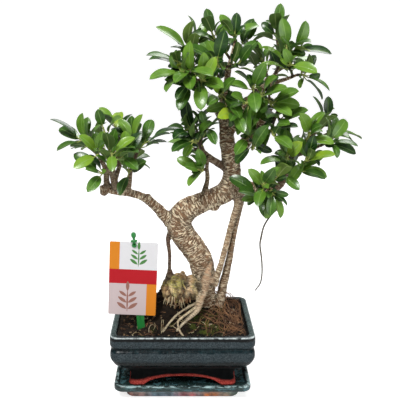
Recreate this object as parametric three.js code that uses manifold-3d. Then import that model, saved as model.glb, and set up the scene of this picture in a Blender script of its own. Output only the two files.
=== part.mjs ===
// Chinese banyan bonsai in a glazed bowl on its saucer, with its plant label.
// Millimetres, +Z up. The origin is the middle of the saucer's foot, on the surface it stands on.
// +X is the tree's right and -Y is its front.

import * as THREE from 'three';
import { mergeVertices } from 'three/addons/utils/BufferGeometryUtils.js';
import Module from 'manifold-3d';

const wasm = await Module();
wasm.setup();

// Clearance kept between neighbouring solids.
const GAP = 0.3;

// Saucer: a solid foot, a flared lip and a shallow basin.
const SAUCER = {
  foot: { x: 160, y: 110, height: 12, edge: 2 },
  lip: { x: 192, y: 136, bottom: 14, top: 23, edge: 1.5, flare: 3, rim: 5 },
  basin: { floor: 15.5, slope: 1.5 },
  corner: 12,
  innerCorner: 10,
};

// Bowl: a banded body on an arched skirt.
const BOWL = {
  x: 200,
  y: 150,
  corner: 12,
  innerCorner: 9,
  skirtCorner: 8,
  floorTop: 44,
  floorBottom: 36,
  skirtOuter: 25,
  skirtInner: 33,
  drain: 11,
};
// Arches through the skirt's four sides, with heights above the saucer's floor.
const ARCH = { below: 2, spring: 6.3, shoulder: 9.3, crown: 14, foot: 17, flare: 6, bend: 10 };
// Outside of the bowl from skirt to rim: how far it is set in, and its height.
const BOWL_OUTSIDE = [
  [25, 18], [26.5, 30], [25, 42], [18, 45], [11, 50], [5, 56], [1, 64], [0, 69],
  [0.5, 76], [3, 79], [3, 82], [0.5, 84.5], [0, 97], [2, 100],
];
// Inside of the bowl from rim to floor.
const BOWL_INSIDE = [[8, 100], [9.5, 96], [11, 64], [17, 52], [30, 44]];
const MESH_PAD = { size: 27, thick: 1.2, hole: 4.4, pitch: 6.6 };

// Compost: level at the bowl's wall, mounded round the foot of the tree.
const SOIL = {
  edge: 95,
  dome: 4,
  level: 0.35,
  rings: 8,
  middle: 0.6,
  mounds: [
    { x: -20, y: 4, height: 44, spread: 22 },
    { x: 38, y: 6, height: 16, spread: 34 },
    { x: 62, y: 34, height: 11, spread: 24 },
  ],
  rough: 1.6,
};

// Plant label: a card that hangs a little askew from a flat stake.
// The foot is where the stake enters the compost, and the stake's heights are from there.
const LABEL = {
  foot: { x: -58, y: -40, z: 99 },
  stakeLean: THREE.MathUtils.degToRad(3.6),
  stake: { width: 10.5, slim: 6.3, thick: 1.6, depth: 36, point: 14, wide: 102, narrow: 114, height: 126 },
  hook: { gap: 0.35, over: 1, width: 9, radius: 3.4, neck: 1.7, drop: 4 },
  cardLean: THREE.MathUtils.degToRad(2.6),
  card: { x: 66, z: 106, thick: 1, corner: 2 },
};
// The stake's head above the card: half widths, and heights above its top edge.
const STAKE_HEAD = [[1.7, -0.8], [2, 3], [3.4, 4.5], [3, 10], [1.7, 11.5]];

// Tree: centre line points and half thickness, [x, y, z, r]. A branch starts inside the one it grew from.
const SIDES = { thick: 10, middle: 6, thin: 5, fine: 4 };
const WOOD = {
  trunk: [
    [37, 6, 70, 7], [36, 5, 98, 10.5], [35, 4, 124, 12.5], [33, 4, 146, 15.5], [30, 5, 166, 17],
    [24, 4, 189, 17.5], [11, 2, 210, 17.5], [-1, 0, 227, 17.5], [-5, -2, 244, 18], [5, -3, 260, 16.5],
    [18, -3, 267, 15.3], [32, -2, 273, 14.6], [46, 0, 278, 14], [62, 3, 287, 14.7], [69, 4, 307, 12.5],
    [67, 4, 327, 12], [63, 4, 347, 11.5], [60, 4, 366, 10], [58, 4, 385, 8.5],
  ],
  crown: [
    [59, 4, 376, 8.5], [56, 2, 406, 6.3], [58, 0, 426, 5.2], [61, 0, 450, 4], [65, 0, 470, 3],
    [69, 2, 488, 2],
  ],
  left: [
    [-3, -2, 244, 13], [-23, -6, 252, 9.3], [-35, -10, 265, 7], [-48, -12, 277, 6.2], [-60, -14, 284, 5.6],
    [-74, -15, 288, 5.4], [-90, -15, 290, 5.2], [-106, -15, 294, 5.4], [-113, -15, 293, 4.8],
  ],
  fanLeft: [[-104, -15, 292, 4.5], [-104, -18, 318, 4], [-110, -22, 335, 3], [-119, -24, 349, 2]],
  fanMid: [[-97, -15, 291, 4.1], [-90, -8, 313, 3.4], [-85, 0, 331, 2.8], [-83, 4, 350, 2.1]],
  fanRight: [[-75, -15, 288, 4.1], [-72, -12, 311, 3.4], [-68, -8, 329, 2.7], [-62, -6, 344, 2]],
  fanFront: [[-92, -15, 291, 3.6], [-94, -38, 313, 3], [-96, -56, 330, 2.1]],
  fanBack: [[-88, -15, 289, 4.1], [-95, 12, 303, 3.5], [-100, 36, 317, 2.9], [-102, 52, 327, 2.2]],
  midLeft: [[62, 4, 318, 6], [40, -6, 333, 4.8], [28, -10, 344, 4.1], [21, -14, 363, 2.7]],
  risingLeft: [[26, -4, 270, 5.5], [34, -8, 303, 3.4], [33, -13, 323, 2.9], [36, -18, 341, 2]],
  topLeft: [
    [59, 4, 380, 7], [41, -6, 410, 6], [26, -10, 424, 5.3], [16, -12, 440, 4], [12, -12, 456, 2.6],
  ],
  topRight: [
    [60, 4, 366, 9], [78, 0, 394, 7.5], [93, -2, 416, 6.1], [106, -2, 432, 4.7], [123, 0, 446, 3.3],
    [130, 2, 463, 2],
  ],
  topRightLow: [[102, -2, 427, 4.5], [123, -8, 437, 3.3], [138, -12, 442, 2.6], [150, -14, 447, 2]],
  topBack: [[58, 4, 388, 6.1], [55, 30, 413, 4.5], [53, 52, 431, 2.8]],
  topRightBack: [[82, 0, 399, 5.4], [104, 26, 424, 4.2], [120, 46, 439, 2.8]],
  shoulder: [
    [66, 4, 326, 10.5], [93, 8, 362, 7.9], [104, 10, 378, 6.5], [111, 12, 394, 6.4], [113, 13, 399, 5],
  ],
  shoulderUp: [[102, 9, 376, 4.8], [116, 4, 396, 3.4], [125, -8, 408, 2.3]],
  right: [
    [62, 3, 288, 14], [79, 2, 292, 12.4], [94, -4, 291, 10], [110, -10, 289, 7.9], [127, -14, 287, 6.2],
    [136, -16, 275, 5.2],
  ],
  rightUp: [
    [121, -12, 287, 5.5], [135, -12, 300, 5.1], [142, -8, 316, 4.5], [148, -4, 332, 3.8],
    [158, 0, 349, 3.1], [182, 4, 358, 2.1],
  ],
  rightOut: [[150, -3, 335, 3.4], [170, -14, 346, 2.7], [184, -22, 354, 2]],
  rightBack: [[138, -10, 306, 4.1], [155, 20, 321, 3.2], [170, 46, 334, 2.3]],
  rightFront: [[118, -12, 288, 4.1], [114, -36, 297, 2.7], [111, -48, 303, 2]],
};

// Roots that come down to the compost or run along it, in the same form.
const ROOTS = {
  twinLeft: [
    [76, 3, 280, 5], [77, 2, 266, 5.2], [70, 0, 242, 4.2], [62, -4, 209, 4.3], [54, -8, 179, 4.4],
    [45, -8, 150, 6],
  ],
  twinRight: [
    [80, 4, 284, 5], [82, 4, 269, 4.6], [76, 5, 235, 3.6], [70, 3, 200, 4.4], [64, 1, 170, 5.6],
    [58, 0, 141, 6.5], [52, 2, 104, 7],
  ],
  prop: [
    [-12, -2, 236, 4.5], [-20, -4, 220, 3.4], [-18, -8, 196, 2.8], [-18, -12, 178, 3.2],
    [-16, -13, 158, 5],
  ],
  front: [
    [38, -2, 184, 6], [32, -17, 154, 6.4], [25, -25, 136, 6], [20, -33, 122, 4.5], [4, -42, 110, 2.6],
    [-8, -49, 98, 2], [-12, -52, 84, 1.8],
  ],
  frontThin: [
    [22, -30, 128, 2.6], [4, -44, 120, 1.7], [-6, -50, 113, 1.5], [-4, -56, 102, 1.4],
    [4, -61, 92, 1.3], [7, -62, 84, 1.2],
  ],
  frontLow: [
    [22, -26, 132, 2.4], [-2, -34, 121, 1.8], [-16, -42, 110, 1.6], [-26, -48, 98, 1.5],
    [-30, -50, 86, 1.5],
  ],
  hanging: [
    [133, -16, 281, 2.4], [132, -17, 268, 1.5], [122, -18, 257, 1.3], [113, -19, 242, 1.2],
    [109, -20, 225, 1.3], [108, -20, 213, 1.2], [111, -20, 192, 1.1], [112, -20, 173, 1],
    [110, -20, 158, 0.9], [103, -20, 147, 0.8],
  ],
  sideBack: [[40, 16, 120, 9], [56, 30, 106, 5], [70, 40, 94, 3.2], [78, 44, 80, 2.6]],
};

// Swellings: centre, half sizes along X, Y and Z, and how many facets they are given.
const SWELLINGS = [
  { name: 'bulb', at: [-8, -14, 149], size: [21, 17, 21], facets: [10, 7] },
  { name: 'bulb shoulder', at: [12, -12, 148], size: [16, 16, 18], facets: [8, 6] },
  { name: 'knob on the bulb', at: [0, -18, 168], size: [6, 6, 7], facets: [6, 4] },
  { name: 'foot of the prop', at: [-19, -14, 163], size: [7, 7, 9], facets: [6, 4] },
  { name: 'healed cut low on the trunk', at: [35, -5, 193], size: [7, 7, 9], facets: [6, 4] },
  { name: 'healed cut at the fork', at: [60, -7, 290], size: [8, 6, 8], facets: [6, 4] },
  { name: 'swelling at the shoulder', at: [106, 8, 383], size: [9, 9, 11], facets: [7, 4] },
];

// Leaves.
const LEAF = { length: 35, width: 17.5, petiole: 8, rib: 1.3, stalk: 0.6, fold: 0.34 };
const LAST_LEAF = { petiole: 3, sunk: 1.5, arch: 0.6, narrowest: 0.8, widest: 1.05 };
const BLADE_STATIONS = [0.32, 0.7];
// A leaf's faces between the triangle at its root and the first section of its blade.
const ROOT_FACES = [0, 1, 2, 0, 3, 4, 0, 4, 1, 1, 4, 5, 1, 5, 2, 2, 5, 6, 2, 6, 3, 2, 3, 0];

// Shoots: a stem's half thickness at both ends, how it rises and aims, and where its leaves stand.
const SHOOT = {
  base: 2.2, end: 1.6, sides: 3, steps: 3, rise: 0.35, lift: 0.06, aim: 0.3,
  leaves: 3, first: 0.45, last: 0.8,
};
// Side leaves: the turn and angle from one to the next, and how far each value varies about its own.
const SPREAD = { turn: 2.39996, open: 1, size: 0.97, arch: 0.7875, lift: 0.22 };
const VARY = { share: 0.05, turn: 1.2, open: 0.5, size: 0.3, roll: 0.9, arch: 0.525 };
// A side leaf that finds no room is turned and opened, up to the last attempt.
const PLACING = { attempts: 12, turn: 0.7, open: 0.14, clearance: 0.35 };
const SEED = 20317;

// Leafy shoots: the branch each one grows on and how far along it, where the shoot ends,
// where the tip of its last leaf reaches, and how far that leaf faces the front, from 0 to 1.
// A row with a fork grows out of the shoot before it, that far along, and belongs to its spray.
const SHOOTS = [
  { on: 'fanLeft', at: 1.00, to: [-138, -26, 365], tip: [-175, -30, 391], face: 0.1 },
  { on: 'fanLeft', at: 0.80, to: [-134, -8, 361], tip: [-129, 4, 390], face: 0.8 },
  { on: 'fanLeft', at: 0.75, to: [-114, -44, 344], tip: [-142, -60, 331], face: 0.7 },
  { on: 'fanMid', at: 0.52, to: [-107, -14, 378], tip: [-113, -18, 403], face: 0.8 },
  { on: 'fanMid', at: 1.00, to: [-95, 14, 379], tip: [-116, 22, 401], face: 0.4 },
  { on: 'fanMid', at: 0.68, to: [-72, 8, 360], tip: [-69, 6, 392], face: 0.6 },
  { on: 'fanRight', at: 1.00, to: [-66, -18, 364], tip: [-53, -24, 397], face: 0.3 },
  { on: 'fanRight', at: 0.60, to: [-48, -12, 358], tip: [-16, -16, 370], face: 0.1 },
  { on: 'fanRight', at: 0.35, to: [-70, -34, 322], tip: [-47, -56, 340], face: 0.7 },
  { on: 'fanLeft', at: 0.35, to: [-109, -42, 321], tip: [-126, -62, 330], face: 0.5 },
  { on: 'fanBack', at: 0.90, to: [-123, 58, 341], tip: [-151, 88, 330], face: 0.3 },
  { on: 'fanBack', at: 1.00, to: [-93, 66, 346], tip: [-84, 94, 359], face: 0.5 },
  { on: 'fanBack', at: 0.60, to: [-71, 44, 323], tip: [-48, 72, 324], face: 0.4 },
  { on: 'fanFront', at: 1.00, to: [-91, -64, 350], tip: [-89, -86, 331], face: 0.7 },
  { fork: 0.35, to: [-77, -52, 343], tip: [-57, -76, 332], face: 0.6 },
  { on: 'fanFront', at: 0.70, to: [-95, -48, 353], tip: [-86, -58, 382], face: 0.8 },
  { on: 'midLeft', at: 1.00, to: [4, -24, 376], tip: [-38, -34, 370], face: 0.1 },
  { on: 'midLeft', at: 0.68, to: [12, -36, 363], tip: [-15, -58, 352], face: 0.4 },
  { fork: 0.35, to: [32, -36, 380], tip: [42, -58, 361], face: 0.5 },
  { on: 'risingLeft', at: 0.60, to: [23, -28, 322], tip: [1, -46, 331], face: 0.6 },
  { on: 'midLeft', at: 0.90, to: [15, -6, 381], tip: [-4, 0, 402], face: 0.3 },
  { on: 'midLeft', at: 0.55, to: [8, 24, 346], tip: [-21, 52, 348], face: 0.3 },
  { on: 'topLeft', at: 0.76, to: [-12, -20, 466], tip: [-48, -28, 473], face: 0.3 },
  { on: 'topLeft', at: 1.00, to: [5, -4, 481], tip: [-36, -8, 509], face: 0.4 },
  { on: 'topLeft', at: 0.88, to: [19, 14, 492], tip: [41, 20, 520], face: 0.5 },
  { on: 'crown', at: 0.75, to: [37, -8, 504], tip: [30, -10, 532], face: 0.8 },
  { on: 'crown', at: 0.60, to: [44, -26, 467], tip: [53, -38, 505], face: 0.8 },
  { fork: 0.35, to: [73, -30, 464], tip: [86, -52, 486], face: 0.7 },
  { on: 'crown', at: 1.00, to: [68, -6, 499], tip: [70, -8, 527], face: 0.7 },
  { on: 'topLeft', at: 0.64, to: [-5, -40, 452], tip: [-43, -58, 444], face: 0.4 },
  { on: 'topLeft', at: 0.40, to: [6, -38, 436], tip: [-9, -56, 418], face: 0.5 },
  { on: 'topLeft', at: 0.54, to: [9, -50, 455], tip: [37, -78, 449], face: 0.4 },
  { fork: 0.35, to: [28, -46, 441], tip: [50, -76, 435], face: 0.7 },
  { on: 'topBack', at: 1.00, to: [26, 72, 441], tip: [-6, 98, 448], face: 0.3 },
  { on: 'topBack', at: 0.80, to: [42, 58, 467], tip: [26, 80, 494], face: 0.5 },
  { on: 'crown', at: 0.85, to: [88, 26, 489], tip: [99, 38, 517], face: 0.5 },
  { on: 'crown', at: 0.25, to: [46, -42, 422], tip: [30, -66, 412], face: 0.5 },
  { fork: 0.35, to: [68, -44, 399], tip: [77, -68, 377], face: 0.7 },
  { on: 'topRight', at: 1.00, to: [124, 2, 507], tip: [128, 2, 539], face: 0.8 },
  { on: 'topRight', at: 0.78, to: [135, -16, 483], tip: [127, -20, 520], face: 0.7 },
  { on: 'topRight', at: 0.90, to: [153, -10, 479], tip: [195, -16, 474], face: 0.4 },
  { on: 'topRightLow', at: 0.85, to: [139, -38, 461], tip: [168, -60, 452], face: 0.6 },
  { on: 'topRightLow', at: 1.00, to: [161, -20, 446], tip: [192, -28, 427], face: 0.1 },
  { on: 'topRight', at: 0.50, to: [91, -38, 434], tip: [103, -56, 465], face: 0.7 },
  { fork: 0.35, to: [80, -46, 413], tip: [59, -72, 426], face: 0.6 },
  { on: 'topRightLow', at: 0.40, to: [101, -46, 422], tip: [130, -72, 434], face: 0.5 },
  { fork: 0.35, to: [115, -40, 409], tip: [137, -66, 399], face: 0.5 },
  { on: 'topRightBack', at: 1.00, to: [113, 64, 466], tip: [99, 90, 491], face: 0.4 },
  { on: 'topRightBack', at: 0.76, to: [156, 58, 458], tip: [192, 82, 464], face: 0.3 },
  { on: 'rightUp', at: 0.86, to: [198, 6, 388], tip: [198, 8, 418], face: 0.8 },
  { on: 'rightOut', at: 1.00, to: [198, -28, 360], tip: [231, -38, 356], face: 0.2 },
  { on: 'rightUp', at: 1.00, to: [216, 16, 367], tip: [253, 26, 356], face: 0.1 },
  { on: 'rightOut', at: 0.60, to: [165, -40, 337], tip: [196, -62, 349], face: 0.4 },
  { on: 'rightUp', at: 0.40, to: [159, -32, 322], tip: [187, -52, 315], face: 0.4 },
  { fork: 0.35, to: [137, -48, 345], tip: [150, -76, 368], face: 0.7 },
  { on: 'rightUp', at: 0.72, to: [165, -34, 373], tip: [148, -58, 402], face: 0.7 },
  { on: 'shoulderUp', at: 1.00, to: [131, -28, 388], tip: [161, -50, 405], face: 0.5 },
  { fork: 0.35, to: [118, -46, 371], tip: [137, -76, 359], face: 0.5 },
  { on: 'shoulder', at: 0.60, to: [93, -40, 354], tip: [108, -66, 388], face: 0.6 },
  { fork: 0.35, to: [84, -36, 366], tip: [67, -60, 348], face: 0.6 },
  { on: 'rightFront', at: 0.30, to: [105, -62, 311], tip: [115, -84, 336], face: 0.8 },
  { fork: 0.35, to: [134, -44, 317], tip: [151, -66, 303], face: 0.7 },
  { on: 'rightFront', at: 1.00, to: [116, -60, 298], tip: [113, -70, 269], face: 0.9 },
  { on: 'right', at: 0.55, to: [101, -38, 290], tip: [72, -60, 300], face: 0.5 },
];

const UP = new THREE.Vector3(0, 0, 1);
const FRONT = new THREE.Vector3(0, -1, 0);

// Repeatable draws between 0 and 1.
let state = SEED;
function draw() {
  state = (state * 1664525 + 1013904223) % 4294967296;
  return state / 4294967296;
}

// A closed geometry as a solid that can be joined and cut.
function solid(geometry) {
  const bare = geometry.clone();
  bare.deleteAttribute('normal');
  bare.deleteAttribute('uv');
  const merged = mergeVertices(bare, 1e-4);
  return new wasm.Manifold(new wasm.Mesh({
    numProp: 3,
    vertProperties: new Float32Array(merged.attributes.position.array),
    triVerts: new Uint32Array(merged.index.array),
  }));
}

function geometryOf(body) {
  const mesh = body.getMesh();
  const geometry = new THREE.BufferGeometry();
  geometry.setAttribute('position', new THREE.BufferAttribute(mesh.vertProperties, 3));
  geometry.setIndex(new THREE.BufferAttribute(mesh.triVerts, 1));
  geometry.computeVertexNormals();
  return geometry;
}

function joined(bodies) {
  return bodies.reduce((whole, body) => whole.add(body));
}

// The largest of the loose bodies that a cut leaves.
function largest(body) {
  return body.decompose().reduce((best, piece) => (piece.volume() > best.volume() ? piece : best));
}

function indexed(points, index) {
  const positions = points.flatMap((point) => [point.x, point.y, point.z]);
  const geometry = new THREE.BufferGeometry();
  geometry.setAttribute('position', new THREE.Float32BufferAttribute(positions, 3));
  geometry.setIndex(index);
  return geometry;
}

// A closed skin over rings with the same number of points. A fan closes the first ring and the last.
function loft(rings) {
  const count = rings[0].length;
  const index = [];
  for (let ring = 0; ring < rings.length - 1; ring += 1) {
    for (let step = 0; step < count; step += 1) {
      const next = (step + 1) % count;
      const a = ring * count + step;
      const b = ring * count + next;
      index.push(a, b, b + count, a, b + count, a + count);
    }
  }
  const last = (rings.length - 1) * count;
  for (let step = 1; step < count - 1; step += 1) {
    index.push(0, step + 1, step);
    index.push(last, last + step, last + step + 1);
  }
  return indexed(rings.flat(), index);
}

// A level ring in the shape of a rectangle with round corners.
function levelRing(sizeX, sizeY, corner, z, cornerSteps = 3) {
  const ring = [];
  for (let quarter = 0; quarter < 4; quarter += 1) {
    const signX = quarter === 0 || quarter === 3 ? 1 : -1;
    const signY = quarter < 2 ? 1 : -1;
    for (let step = 0; step <= cornerSteps; step += 1) {
      const angle = (quarter + step / cornerSteps) * Math.PI / 2;
      ring.push(new THREE.Vector3(
        signX * (sizeX / 2 - corner) + corner * Math.cos(angle),
        signY * (sizeY / 2 - corner) + corner * Math.sin(angle),
        z,
      ));
    }
  }
  return ring;
}

// The same ring set in from the outline of a saucer or a bowl.
function insetRing(outline, inset, z, corner) {
  return levelRing(outline.x - 2 * inset, outline.y - 2 * inset, corner, z);
}

function block(sizeX, sizeY, sizeZ, x, y, z) {
  return solid(new THREE.BoxGeometry(sizeX, sizeY, sizeZ).translate(x, y, z));
}

function branchCurve(points) {
  const places = points.map(([x, y, z]) => new THREE.Vector3(x, y, z));
  return new THREE.CatmullRomCurve3(places, false, 'catmullrom');
}

// Points along a smooth curve through the listed stations, with a thickness at each.
function stations(points, steps) {
  const curve = branchCurve(points);
  const spans = points.length - 1;
  const count = spans * steps;
  const frames = curve.computeFrenetFrames(count, false);
  return Array.from({ length: count + 1 }, (_, i) => {
    const along = (i / count) * spans;
    const span = Math.min(Math.floor(along), spans - 1);
    const radius = THREE.MathUtils.lerp(points[span][3], points[span + 1][3], along - span);
    const centre = curve.getPoint(i / count);
    return { centre, radius, normal: frames.normals[i], binormal: frames.binormals[i] };
  });
}

function tube(points, sides, steps, extra = 0) {
  const rings = stations(points, steps).map(({ centre, radius, normal, binormal }) => (
    Array.from({ length: sides }, (_, side) => {
      const angle = (side / sides) * Math.PI * 2;
      return centre.clone()
        .addScaledVector(normal, (radius + extra) * Math.cos(angle))
        .addScaledVector(binormal, (radius + extra) * Math.sin(angle));
    })
  ));
  return solid(loft(rings));
}

function sidesFor(points) {
  const radius = points[1][3];
  if (radius > 11) return SIDES.thick;
  if (radius > 5.5) return SIDES.middle;
  return radius > 3.7 ? SIDES.thin : SIDES.fine;
}

// The wood in one piece. Made again a little fatter, it is the room that its neighbours leave for it.
function wood(extra = 0) {
  const limbs = [...Object.values(WOOD), ...Object.values(ROOTS)]
    .map((points) => tube(points, sidesFor(points), 1, extra));
  const swellings = SWELLINGS.map(({ at, size, facets }) => {
    const ball = new THREE.SphereGeometry(1, facets[0], facets[1]);
    ball.scale(size[0] + extra, size[1] + extra, size[2] + extra).translate(...at);
    return solid(ball);
  });
  return joined([...limbs, ...swellings]);
}

function saucer() {
  const { foot, lip, basin, corner, innerCorner } = SAUCER;
  return solid(loft([
    insetRing(foot, foot.edge, 0, corner),
    insetRing(foot, 0, foot.edge, corner),
    insetRing(foot, 0, foot.height, corner),
    insetRing(lip, lip.flare, lip.bottom, corner),
    insetRing(lip, 0, lip.bottom + lip.edge, corner),
    insetRing(lip, 0, lip.top - lip.edge, corner),
    insetRing(lip, lip.edge, lip.top, corner),
    insetRing(lip, lip.rim, lip.top, innerCorner),
    insetRing(lip, lip.rim + basin.slope, basin.floor, innerCorner),
  ]));
}

// An arch cut through the skirt: straight sides and a shallow curved top.
function archCut(span, length, turned) {
  const { below, flare, bend } = ARCH;
  const [bottom, spring, shoulder, crown] = [-below, ARCH.spring, ARCH.shoulder, ARCH.crown]
    .map((height) => SAUCER.basin.floor + height);
  const side = span / 2;
  const shape = new THREE.Shape();
  shape.moveTo(-side - flare, bottom);
  shape.lineTo(side + flare, bottom);
  shape.quadraticCurveTo(side, spring, side - bend, shoulder);
  shape.quadraticCurveTo(side / 2, crown, 0, crown);
  shape.quadraticCurveTo(-side / 2, crown, -side + bend, shoulder);
  shape.quadraticCurveTo(-side, spring, -side - flare, bottom);
  const cut = new THREE.ExtrudeGeometry(shape, { depth: length, bevelEnabled: false, curveSegments: 4 });
  cut.translate(0, 0, -length / 2).rotateX(Math.PI / 2);
  if (turned) cut.rotateZ(Math.PI / 2);
  return solid(cut);
}

function bowl() {
  const { x, y, skirtOuter, skirtInner, floorTop, floorBottom, drain } = BOWL;
  const stand = SAUCER.basin.floor + GAP;
  const body = solid(loft([
    insetRing(BOWL, skirtInner, floorBottom, BOWL.skirtCorner),
    insetRing(BOWL, skirtInner, stand, BOWL.skirtCorner),
    insetRing(BOWL, skirtOuter, stand, BOWL.corner),
    ...BOWL_OUTSIDE.map(([inset, z]) => insetRing(BOWL, inset, z, BOWL.corner)),
    ...BOWL_INSIDE.map(([inset, z]) => insetRing(BOWL, inset, z, BOWL.innerCorner)),
  ]));
  const hole = new THREE.CylinderGeometry(drain, drain, floorTop, 16);
  hole.rotateX(Math.PI / 2).translate(0, 0, floorTop);
  const solidSides = 2 * (skirtInner + ARCH.foot);
  return body
    .subtract(archCut(x - solidSides, y, false))
    .subtract(archCut(y - solidSides, x, true))
    .subtract(solid(hole));
}

// The open mesh that keeps the compost off the drain hole.
function meshPad() {
  const { size, thick, hole, pitch } = MESH_PAD;
  const z = BOWL.floorTop + GAP + thick / 2;
  let pad = block(size, size, thick, 0, 0, z);
  for (const row of [-1, 0, 1]) {
    for (const column of [-1, 0, 1]) {
      pad = pad.subtract(block(hole, hole, thick * 2, row * pitch, column * pitch, z));
    }
  }
  return pad;
}

// How far the bowl's wall is set in at the compost's edge.
function edgeInset() {
  const [[above, aboveZ], [below, belowZ]] = BOWL_INSIDE.slice(1, 3);
  return THREE.MathUtils.mapLinear(SOIL.edge, belowZ, aboveZ, below, above) + GAP;
}

// Height of the compost at a place: gentle mounds with small lumps, dying away to a level edge at the wall.
function soilHeight(x, y) {
  const wall = edgeInset();
  const fromWall = 1 - Math.max(Math.abs(x) / (BOWL.x / 2 - wall), Math.abs(y) / (BOWL.y / 2 - wall));
  const rise = SOIL.mounds.reduce((sum, mound) => {
    const distance = ((x - mound.x) ** 2 + (y - mound.y) ** 2) / (2 * mound.spread ** 2);
    return sum + mound.height * Math.exp(-distance);
  }, 0);
  const lumps = Math.sin(x * 0.31 + 1.3) * Math.cos(y * 0.27) + Math.sin(x * 0.13 - y * 0.19);
  const blend = THREE.MathUtils.smoothstep(fromWall, 0, SOIL.level);
  return SOIL.edge + (rise + lumps * SOIL.rough) * blend + SOIL.dome * fromWall;
}

function compost(woodRoom, labelRoom) {
  const walls = BOWL_INSIDE.slice(2).reverse()
    .map(([inset, z]) => insetRing(BOWL, inset + GAP, z + GAP, BOWL.innerCorner));
  const edge = insetRing(BOWL, edgeInset(), SOIL.edge, BOWL.innerCorner);
  const top = [];
  for (let ring = 1; ring <= SOIL.rings; ring += 1) {
    const shrink = 1 - ring / (SOIL.rings + SOIL.middle);
    top.push(edge.map((point) => {
      const x = point.x * shrink;
      const y = point.y * shrink;
      return new THREE.Vector3(x, y, soilHeight(x, y));
    }));
  }
  const padRoom = MESH_PAD.size + 2 * GAP;
  const padTop = MESH_PAD.thick + GAP;
  return largest(solid(loft([...walls, edge, ...top]))
    .subtract(block(padRoom, padRoom, padTop * 2, 0, 0, BOWL.floorTop + GAP))
    .subtract(woodRoom)
    .subtract(labelRoom));
}

// A flat plate standing in the label's own plane, from an outline in its X and Z.
function standingPlate(shape, thick, y) {
  const plate = new THREE.ExtrudeGeometry(shape, { depth: thick, bevelEnabled: false, curveSegments: 5 });
  return plate.translate(0, 0, -thick / 2).rotateX(Math.PI / 2).translate(0, y, 0);
}

// Moves a shape from the stake's own upright frame, with its origin where it enters the compost.
function placeStake(geometry) {
  const { foot, stakeLean } = LABEL;
  return geometry.rotateY(-stakeLean).translate(foot.x, foot.y, foot.z);
}

// The card hangs from the middle of its top edge.
function labelCard() {
  const { foot, stake, stakeLean, cardLean } = LABEL;
  const { x, z, thick, corner } = LABEL.card;
  const half = x / 2;
  const shape = new THREE.Shape();
  shape.moveTo(-half + corner, -z);
  shape.lineTo(half - corner, -z);
  shape.quadraticCurveTo(half, -z, half, -z + corner);
  shape.lineTo(half, -corner);
  shape.quadraticCurveTo(half, 0, half - corner, 0);
  shape.lineTo(-half + corner, 0);
  shape.quadraticCurveTo(-half, 0, -half, -corner);
  shape.lineTo(-half, -z + corner);
  shape.quadraticCurveTo(-half, -z, -half + corner, -z);
  const hung = standingPlate(shape, thick, 0).rotateY(cardLean);
  return solid(hung.translate(
    foot.x - stake.height * Math.sin(stakeLean),
    foot.y,
    foot.z + stake.height * Math.cos(stakeLean),
  ));
}

// A shape that is the same left and right, from half widths and heights going up.
function evenShape(points) {
  const left = points.map(([half, height]) => [-half, height]).reverse();
  return new THREE.Shape([...points, ...left].map(([x, y]) => new THREE.Vector2(x, y)));
}

// The stake stands behind the card, goes over its top edge and holds it with a round tongue.
function labelStake(extra = 0) {
  const { width, slim, thick, depth, point, wide, narrow, height } = LABEL.stake;
  const { hook } = LABEL;
  const half = width / 2 + extra;
  const halfSlim = slim / 2 + extra;
  const behind = LABEL.card.thick / 2 + hook.gap + thick / 2;
  const top = height + hook.over + thick;
  const blade = evenShape([
    [0.4, -depth - extra], [half, -depth + point], [half, wide], [halfSlim, narrow], [halfSlim, top],
  ]);
  const head = evenShape(STAKE_HEAD.map(([halfWidth, above]) => [halfWidth, top + above]));
  const tongue = new THREE.Shape();
  tongue.absarc(0, height - hook.drop, hook.radius, -Math.PI * 1.25, Math.PI * 0.25, false);
  tongue.lineTo(hook.neck, top);
  tongue.lineTo(-hook.neck, top);
  tongue.closePath();
  const bridge = new THREE.BoxGeometry(hook.width, 2 * behind + thick, thick);
  bridge.translate(0, 0, top - thick / 2);
  return joined([
    standingPlate(blade, thick + 2 * extra, behind),
    standingPlate(tongue, thick, -behind),
    standingPlate(head, thick * 1.4, 0),
    bridge,
  ].map((piece) => solid(placeStake(piece))));
}

// Half the blade's width at a share of its length.
function bladeHalfWidth(share) {
  return 0.5 * Math.pow(Math.sin(Math.PI * Math.pow(share, 0.93)), 0.8);
}

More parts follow.
